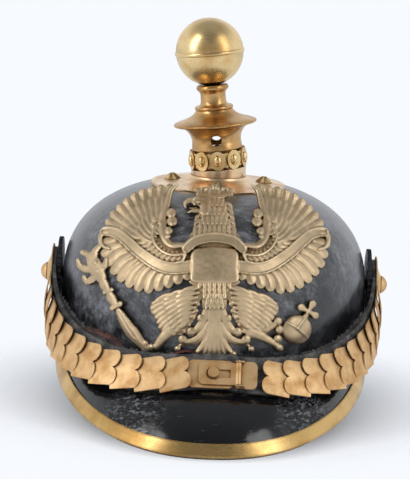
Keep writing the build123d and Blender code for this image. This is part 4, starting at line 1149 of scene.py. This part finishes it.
    def tail(self) -> None:
        """Draws the fluted tail with curled leaves on both sides."""
        for k in (-2.6, -1.3, 0.0, 1.3, 2.6):
            line = [(k, -31), (k * 1.1, -42), (k * 1.5, -53), (k * 2.1, -61.5 + abs(k) * 0.5)]
            self.relief.stroke(line, [1.1, 1.2, 1.5, 1.4], 1.4, 1.3, quill=0.15)
        for side in (-1, 1):
            leaves = (
                [(4.5, -33), (6, -39), (9, -44.5), (12.6, -47.8)],
                [(4, -43), (7, -49), (11.5, -52.6), (17, -53.6)],
                [(3.5, -50), (6.5, -56), (10, -60)],
            )
            for leaf in leaves:
                self.relief.stroke(self.turned(leaf, side), [1.8, 2.4, 2.3, 1.6], 1.2, 1.2, quill=0.35)
            curls = [(7.8, -39.3, 2.4), (13.6, -47.2, 2.6), (18.6, -52.0, 2.7), (21.6, -57.5, 1.9), (11, -60.5, 2.0)]
            self.relief.balls(curls, 1.5, 1.6, side)
            self.relief.stroke(self.turned([(17, -53.6), (20, -55.5), (21, -57)], side), [0.9], 1.2, 0.9)

    def orb_hand(self) -> None:
        """Draws the viewer's right foot, the orb and its cross."""
        self.relief.stroke([(21, -47.5), (27, -50), (33, -53), (38, -56.5)], [3.2, 2.8, 2.2, 1.8], 1.3, 1.5)
        self.relief.stroke([(30.5, -46), (34, -44), (37, -41.5)], [2.2, 1.8, 1.6], 1.3, 1.4)
        claws = [(37.4, -41.2, 2.4), (38.4, -46.2, 2.6), (37.4, -51.6, 2.5), (38.4, -57, 2.3)]
        self.relief.balls(claws, 1.6, 1.9)
        self.relief.balls([(48.8, -46.4, 8.7)], 1.3, 3.6)
        self.relief.ridge([(41.8, -41.4), (48.2, -45), (55.8, -51.6)], 0.8, 0.9)
        self.relief.ridge([(49, -45.4), (52, -41.6), (53.6, -39.2)], 0.8, 0.9)
        x, y = 55.6, -35.8
        for across, up in ((0.5, 0.87), (-0.5, -0.87), (0.87, -0.5), (-0.87, 0.5)):
            arm = [(x, y), (x + 2.6 * across, y + 2.6 * up), (x + 5 * across, y + 5 * up)]
            self.relief.stroke(arm, [1.1, 1.3, 2.2], 1.4, 1.0)
        self.relief.balls([(x, y, 1.6)], 2.0, 1.0)

    def sceptre_hand(self) -> None:
        """Draws the viewer's left foot and the sceptre with its leafy head."""
        self.relief.stroke([(-26, -47), (-30, -51), (-34, -56.5)], [3.4, 2.8, 2.2], 1.3, 1.5)
        claws = [(-37, -57, 2.3), (-41, -55, 2.4), (-44.5, -52, 2.4), (-47.4, -49.5, 2.2)]
        self.relief.balls(claws, 1.6, 1.7)
        shaft = [(-40, -58), (-46, -51), (-51, -45), (-56.5, -36)]
        self.relief.stroke(shaft, [2.0, 3.2, 4.0, 3.4, 2.0], 1.4, 1.9)
        self.relief.ridge([(-47, -51), (-52, -44), (-56.5, -36)], 0.5, -0.5)
        self.relief.stroke([(-60.4, -34.4), (-55.6, -31.6)], [1.7], 2.0, 1.6)
        self.relief.stroke([(-59, -31.5), (-61, -28.5), (-62.4, -25.5)], [2.4, 3.2, 2.2], 1.4, 1.9)
        self.relief.stroke([(-65.2, -25.2), (-60.8, -23.4)], [1.4], 2.0, 1.4)
        self.relief.stroke([(-63.6, -23.5), (-65.4, -20.5), (-67, -17)], [2.3, 3.1, 2.4], 1.4, 1.9)
        self.relief.stroke([(-67, -17), (-70.5, -11), (-74, -4.5)], [3.2, 5.0, 3.4], 1.4, 1.7)
        leaves = (
            [(-69, -14), (-72.5, -17), (-76.5, -19), (-78, -16.5)],
            [(-71, -10), (-76, -11.5), (-80.5, -10), (-82, -6.5)],
            [(-73.5, -6), (-76, -3), (-79.5, -1.5)],
            [(-72, -5), (-71.5, -1), (-69, 2)],
            [(-69, -11), (-65.5, -9.5), (-64, -5.5)],
        )
        for leaf in leaves:
            self.relief.stroke(leaf, [2.2, 2.3, 2.0, 1.5], 1.4, 1.3, quill=0.3)
        self.relief.balls([(-70, -12.5, 1.7), (-71.5, -7.5, 1.7)], 2.8, 1.0)

    def draw(self) -> None:
        """Draws every part of the plate. Ribs and grooves come after the forms that carry them."""
        for side in (-1, 1):
            self.wing(side)
            self.ribbon(side)
            self.leg(side)
        self.tail()
        self.body()
        self.neck()
        self.band()
        self.head()
        self.crown()
        self.orb_hand()
        self.sceptre_hand()

    def build(self, material: Material) -> bpy.types.Object:
        """Presses the drawing onto the dome as a closed sheet.

        The grid's places next to the outline are moved onto it, so that the
        border runs smooth. On the steep sides of the dome the relief is made
        higher, so that it stands off the surface there as in front.

        Args:
            material: Metal of the plate.

        Returns:
            The plate, which rides on the helmet.
        """
        self.draw()
        field = self.relief
        height = np.where(field.edge > 0, field.height, field.hem)
        height = Relief.softened(height, 1)
        cavity = height - Relief.softened(height, self.cavity_passes)
        shown = field.edge > -self.rim_kept * field.step
        cells = shown[:-1, :-1] & shown[1:, :-1] & shown[:-1, 1:] & shown[1:, 1:]
        full = np.pad(cells, 1).astype(int)
        touching = full[:-1, :-1] + full[1:, :-1] + full[:-1, 1:] + full[1:, 1:]
        rim = (touching > 0) & (touching < 4)
        slope_v, slope_u = np.gradient(field.edge, field.step)
        least_slope = 0.5
        steep = np.maximum(np.hypot(slope_u, slope_v), least_slope)
        move = np.where(rim & (np.abs(field.edge) < self.rim_moved * field.step), -field.edge / steep, 0.0)
        u, v = field.u + move * slope_u / steep, field.v + move * slope_v / steep
        support = self.plane.support(u, v, self.dome, self.gap)
        fall_v, fall_u = np.gradient(support, field.step)
        stretch = np.minimum(np.sqrt(1 + fall_u**2 + fall_v**2), self.most_stretch)
        front = self.plane.points(u, v, support - height * stretch)
        back = self.plane.points(u, v, support)
        return self.sheet(front, back, cells, touching > 0, cavity, material)

    def sheet(self, front: np.ndarray, back: np.ndarray, cells: np.ndarray, used: np.ndarray, cavity: np.ndarray,
              material: Material) -> bpy.types.Object:
        """Joins front, back and border of the plate in one mesh.

        Args:
            front: Place of each point of the grid on the plate's front.
            back: The same on its back.
            cells: Which squares of the grid belong to the plate.
            used: Which points of the grid do.
            cavity: How high each point stands over its surroundings.
            material: Metal of the plate.

        Returns:
            The plate.
        """
        count = int(used.sum())
        number = np.full(used.shape, -1)
        number[used] = np.arange(count)
        rows, cols = np.nonzero(cells)
        around = ((rows, cols), (rows, cols + 1), (rows + 1, cols + 1), (rows + 1, cols))
        quad = np.stack([number[corner] for corner in around], 1)
        wide = np.pad(cells, 1)
        sides = []
        for row_step, col_step, first, last in ((-1, 0, 0, 1), (0, 1, 1, 2), (1, 0, 2, 3), (0, -1, 3, 0)):
            open_side = ~wide[rows + 1 + row_step, cols + 1 + col_step]
            a, b = quad[open_side, first], quad[open_side, last]
            sides.append(np.stack([b, a, a + count, b + count], 1))
        faces = np.concatenate([quad, quad[:, ::-1] + count] + sides)
        mesh = bpy.data.meshes.new("eagle_front_plate")
        mesh.from_pydata((np.concatenate([front[used], back[used]]) * MM).tolist(), [], faces.tolist())
        layer = mesh.attributes.new("cavity", "FLOAT", "POINT")
        layer.data.foreach_set("value", np.concatenate([cavity[used], np.zeros(count)]).astype(np.float32))
        shade(mesh, material, self.sharp_deg)
        mesh.validate()
        log.info("eagle plate: %d faces", len(faces))
        return link("eagle_front_plate", mesh)


@dataclass(frozen=True)
class StrapPath:
    """Middle line of the chin strap as it rests over the visor, in millimetres.

    Attributes:
        level: Height of the side posts, at which its plane starts.
        drop_deg: How far its plane drops towards the front.
        front_reach: How far ahead of the middle it lies in front.
        side_reach: How far out it lies at the posts.
        squareness: How square its bow is, where 2 would be an ellipse.
        sag: How far it hangs between front and post.
        sag_power: How narrow the sagging stretch is.
        front_lie_deg: How flat the band lies on the visor in front.
        lie_power: How soon it turns upright towards the posts.
        front_band: Width of the leather in front.
        side_band: Width of the leather at the posts.
        shift: How far the leather is set above the middle line in front.
    """

    level: float = 44.0
    drop_deg: float = 15.0
    front_reach: float = 130.0
    side_reach: float = 99.7
    squareness: float = 2.6
    sag: float = 8.0
    sag_power: float = 1.2
    front_lie_deg: float = 53.0
    lie_power: float = 2.2
    front_band: float = 22.0
    side_band: float = 28.0
    shift: float = 2.5

    def point(self, angle: float) -> Vector:
        """Point of the middle line in the strap's own plane.

        Args:
            angle: Angle from the front, in radians, negative on the viewer's left.

        Returns:
            The point.
        """
        across, ahead = abs(math.sin(angle)) / self.side_reach, abs(math.cos(angle)) / self.front_reach
        reach = (across**self.squareness + ahead**self.squareness) ** (-1 / self.squareness)
        slack = abs(math.sin(2 * angle)) ** self.sag_power
        return Vector((reach * math.sin(angle), -reach * math.cos(angle), -self.sag * slack))

    def edge(self, angle: float) -> float:
        """How far the leather's upper edge lies above the middle line, along the band."""
        share = min(1.0, abs(angle) / (math.pi / 2))
        return (self.front_band + (self.side_band - self.front_band) * share) / 2 + self.shift * math.cos(angle)

    def place(self, angle: float, rise: float, out: float) -> Vector:
        """Place on or over the band, in the helmet's frame.

        Args:
            angle: Angle from the front, in radians.
            rise: How far it lies above the middle line, along the band.
            out: How far it lies in front of the band, negative towards the skull.

        Returns:
            The place.
        """
        small_step = 0.01
        along_strap = (self.point(angle - small_step) - self.point(angle + small_step)).normalized()
        outward = along_strap.cross(Vector((0, 0, 1))).normalized()
        if outward.dot(self.point(angle)) < 0:
            outward.negate()
        up = along_strap.cross(outward)
        if up.z < 0:
            up.negate()
        lie = math.radians(self.front_lie_deg) * max(0.0, math.cos(angle)) ** self.lie_power
        normal = outward * math.cos(lie) + up * math.sin(lie)
        across = up * math.cos(lie) - outward * math.sin(lie)
        spot = self.point(angle) + across * rise + normal * out
        turned = Matrix.Rotation(math.radians(self.drop_deg), 3, "X") @ spot
        return turned + Vector((0, 0, self.level))


@dataclass(frozen=True)
class Hang:
    """How a torn strip of lining hangs, in millimetres.

    Attributes:
        lift: How far its middle stands over the leather's edge.
        curl: How far its tips bend towards the skull at most.
        sunk: How far its root lies below the leather's edge.
        least: Width that it has everywhere.
        steady: Share of the further width that doesn't vary.
    """

    lift: float
    curl: float
    sunk: float
    least: float
    steady: float


class Tear(Enum):
    """Kinds of torn strips, each with how it hangs."""

    FRAYED = Hang(lift=0.4, curl=1.0, sunk=2.5, least=2.5, steady=0.0)
    PEELED = Hang(lift=3.2, curl=3.0, sunk=1.0, least=0.0, steady=0.6)


@dataclass
class WornLining:
    """Ragged edge and peeled strips of the chin strap's leather, in millimetres.

    Attributes:
        materials: Leather of each kind of strip.
        seed: Start of the random draws.
        behind: How far the strips lie behind the band's middle.
        thickness: Thickness of a strip.
        steps_a_degree: Parts of a strip for each degree round the strap.
        least_steps: Parts that every strip has.
        sharp_deg: Angle from which an edge stays sharp.
    """

    materials: dict[Tear, Material]
    seed: int = 11
    behind: float = 1.15
    thickness: float = 0.5
    steps_a_degree: float = 1.6
    least_steps: int = 8
    sharp_deg: float = 50.0

    def __post_init__(self) -> None:
        """Prepares the strap's line and the random draws."""
        self.path = StrapPath()
        self.random = np.random.default_rng(self.seed)

    @staticmethod
    def skin(count: int) -> list[tuple[int, ...]]:
        """Faces of a closed strip whose every row has six points, front and back in turn.

        Args:
            count: Parts of the strip.

        Returns:
            The faces, as numbers of points.
        """
        faces = []
        for i in range(count):
            a, b = 6 * i, 6 * (i + 1)
            faces += [(a, b, b + 2, a + 2), (a + 2, b + 2, b + 4, a + 4), (a + 3, b + 3, b + 1, a + 1)]
            faces += [(a + 5, b + 5, b + 3, a + 3), (a + 4, b + 4, b + 5, a + 5), (a + 1, b + 1, b, a)]
        end = 6 * count
        faces += [(0, 2, 3, 1), (2, 4, 5, 3), (end, end + 1, end + 3, end + 2), (end + 2, end + 3, end + 5, end + 4)]
        return faces

    def strip(self, name: str, tear: Tear, first_deg: float, last_deg: float, width: float) -> bpy.types.Object:
        """Makes one thin strip along the leather's upper edge.

        Args:
            name: Name of the object.
            tear: How it hangs.
            first_deg: Angle round the strap at which it starts, negative on the viewer's left.
            last_deg: Angle at which it ends.
            width: How much wider than its least width it gets.

        Returns:
            The strip.
        """
        hang = tear.value
        count = max(self.least_steps, int(abs(last_deg - first_deg) * self.steps_a_degree))
        ragged = self.random.uniform(0.15, 1.0, count + 1)
        bend = self.random.uniform(0.4, 1.0, count + 1)
        rows = []
        for i in range(count + 1):
            share = i / count
            angle = math.radians(first_deg + (last_deg - first_deg) * share)
            edge = self.path.edge(angle) + hang.lift * math.sin(math.pi * share) - hang.sunk
            reach = hang.least + width * (hang.steady + (1.0 - hang.steady) * ragged[i])
            for part in (0.0, 0.5, 1.0):
                out = -self.behind - hang.curl * bend[i] * part**2
                rows.append(self.path.place(angle, edge + reach * part, out))
                rows.append(self.path.place(angle, edge + reach * part, out - self.thickness))
        mesh = bpy.data.meshes.new(name)
        mesh.from_pydata([row * MM for row in rows], [], self.skin(count))
        shade(mesh, self.materials[tear], self.sharp_deg)
        log.info("lining strip %s", name)
        return link(name, mesh)

    def build(self) -> None:
        """Makes all strips and hangs each on its half of the strap."""
        plan = (
            ("left_frayed_edge", Tear.FRAYED, -62.0, -9.0, 2.6, "left_chin_strap"),
            ("right_frayed_edge", Tear.FRAYED, 13.0, 60.0, 2.2, "right_chin_strap"),
            ("left_peeled_strip", Tear.PEELED, -43.0, -26.0, 4.0, "left_chin_strap"),
            ("front_peeled_strip", Tear.PEELED, -11.0, -2.0, 3.4, "left_chin_strap"),
        )
        for name, tear, first, last, width, body in plan:
            strip = self.strip(name, tear, first, last, width)
            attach(strip, body)


@dataclass(frozen=True)
class SoftBox:
    """One rectangular lamp that faces the helmet, in metres and watts.

    Attributes:
        name: Name of the lamp.
        place: Where it stands.
        size: Its width and height.
        watts: Its power.
        aim: What it faces.
    """

    name: str
    place: Place
    size: tuple[float, float]
    watts: float
    aim: Place = (0.0, 0.0, 0.08)

    def build(self) -> None:
        """Puts the lamp into the scene."""
        lamp = bpy.data.lights.new(self.name, "AREA")
        lamp.shape = "RECTANGLE"
        lamp.size, lamp.size_y = self.size
        lamp.energy = self.watts
        box = link(self.name, lamp)
        box.location = self.place
        box.rotation_euler = (Vector(self.aim) - box.location).to_track_quat("-Z", "Y").to_euler()


@dataclass
class Studio:
    """Pale floor, white surroundings, two soft boxes and the camera, in metres.

    Attributes:
        floor_level: Height of the floor.
        floor_half: Half of its side.
        floor_colours: Its two tones, close to each other.
        floor_fade: Distances from the helmet between which the camera sees the backdrop instead.
        backdrop: Colour of the white room, as the camera sees it.
        room_light: Colour of the light that the room gives.
        room_strength: Strength of that light.
        behind_tone: How light the room behind the camera shows in reflections.
        ceiling_tone: How light its ceiling shows in them.
        distance: Distance of the camera from its target.
        elevation_deg: How far above level the camera stands.
        roll_deg: How far it is tilted.
        target_mm: What it looks at, in millimetres.
        lens: Its focal length, in millimetres.
    """

    floor_level: float
    floor_half: float = 6.0
    floor_colours: tuple[str, str] = ("#F0F2F6", "#F3F5F8")
    floor_fade: tuple[float, float] = (0.095, 0.2)
    backdrop: str = "#F7FAFF"
    room_light: str = "#F4F7FC"
    room_strength: float = 0.78
    behind_tone: float = 0.36
    ceiling_tone: float = 0.4
    distance: float = 1.5
    elevation_deg: float = 10.0
    roll_deg: float = 2.4
    target_mm: Place = (-6.6, 0.0, 68.0)
    lens: float = 179.8

    def build(self) -> None:
        """Builds the whole studio."""
        self.floor()
        self.surroundings()
        SoftBox("left_soft_box", (-1.65, -0.95, 1.15), (0.75, 1.9), 17.0).build()
        SoftBox("right_soft_box", (1.5, -1.0, 1.15), (0.65, 1.8), 12.0).build()
        self.camera()
        log.info("studio built")

    def floor(self) -> None:
        """Large level floor just under the helmet: a board painted matt white.

        It shows the soft shadow near the helmet and passes into the backdrop
        further out, so that no horizon is seen.
        """
        mesh = bpy.data.meshes.new("floor")
        reach = self.floor_half
        sides = [(-reach, -reach), (reach, -reach), (reach, reach), (-reach, reach)]
        mesh.from_pydata([(x, y, self.floor_level) for x, y in sides], [], [(0, 1, 2, 3)])
        floor = link("floor", mesh)
        material = bpy.data.materials.new("painted_board_floor")
        tree = ShaderTree(material)
        tone = tree.blend(tree.span(tree.noise(160.0, 2.0), 0.3, 0.7), *self.floor_colours)
        painted = tree.add("BsdfPrincipled", {"Base Color": tone, "Roughness": 0.75})
        away = tree.add("VectorMath", {0: tree.place()}, operation="LENGTH").outputs["Value"]
        faded = tree.times(tree.span(away, *self.floor_fade), tree.add("LightPath").outputs["Is Camera Ray"])
        clear = tree.add("BsdfTransparent")
        mix = tree.add("MixShader", {0: faded, 1: painted.outputs[0], 2: clear.outputs[0]})
        tree.add("OutputMaterial", {"Surface": mix.outputs[0]})
        mesh.materials.append(material)
        floor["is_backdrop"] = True

    def surroundings(self) -> None:
        """White room: white to the camera, and darker behind it and overhead in reflections.

        The darker parts give the polished metal and lacquer their contrast.
        """
        world = bpy.data.worlds.new("white_room")
        bpy.context.scene.world = world
        tree = ShaderTree(world)
        rays = tree.add("LightPath")
        direction = tree.add("SeparateXYZ", {"Vector": tree.add("TexCoord").outputs["Generated"]})
        behind = tree.span(direction.outputs["Y"], -0.75, 0.1, self.behind_tone, 1.0)
        ceiling = tree.span(direction.outputs["Z"], 0.4, 0.9, 1.0, self.ceiling_tone)
        shown = tree.blend(tree.times(behind, ceiling), "#000000", self.backdrop)
        lit = tree.add("Background", {"Color": linear(self.room_light), "Strength": self.room_strength})
        mirrored = tree.add("Background", {"Color": shown, "Strength": 1.0})
        seen = tree.add("Background", {"Color": linear(self.backdrop), "Strength": 1.0})
        glossy = tree.math("MAXIMUM", rays.outputs["Is Glossy Ray"], rays.outputs["Is Transmission Ray"])
        mix = tree.add("MixShader", {0: glossy, 1: lit.outputs[0], 2: mirrored.outputs[0]})
        mix = tree.add("MixShader", {0: rays.outputs["Is Camera Ray"], 1: mix.outputs[0], 2: seen.outputs[0]})
        tree.add("OutputWorld", {"Surface": mix.outputs[0]})

    def camera(self) -> None:
        """Long lens at the photograph's height, held a little off level."""
        data = bpy.data.cameras.new("camera")
        data.sensor_fit = "VERTICAL"
        data.sensor_height = 36.0
        data.lens = self.lens
        data.clip_end = 20.0
        camera = link("camera", data)
        target = Vector(self.target_mm) * MM
        tilt = math.radians(self.elevation_deg)
        camera.location = target + Vector((0, -math.cos(tilt), math.sin(tilt))) * self.distance
        look = (target - camera.location).to_track_quat("-Z", "Y").to_matrix().to_4x4()
        turned = look @ Matrix.Rotation(math.radians(self.roll_deg), 4, "Z")
        camera.rotation_euler = turned.to_euler()
        bpy.context.scene.camera = camera


def corners(bounds: tuple) -> list[list[float]]:
    """Lowest and highest corner as plain lists of numbers."""
    return [[round(float(c), 6) for c in corner] for corner in bounds]


def main() -> None:
    """Builds the helmet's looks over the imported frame."""
    logging.basicConfig(level=logging.INFO, format="%(name)s: %(message)s")
    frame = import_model()
    cad_box = corners(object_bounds())
    bpy.context.scene.view_settings.view_transform = "Standard"
    Wardrobe(frame["nodes"]).dress()
    eagle = EaglePlate().build(Brass.pressed_plate())
    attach(eagle, "helmet")
    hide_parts("eagle_plate")
    frayed, peeled = Leather.plain(Leather.FRAYED), Leather.plain(Leather.PEELED)
    WornLining({Tear.FRAYED: frayed, Tear.PEELED: peeled}).build()
    just_below = 0.0002
    Studio(floor_level=cad_box[0][2] - just_below).build()


if __name__ == "__main__":
    main()
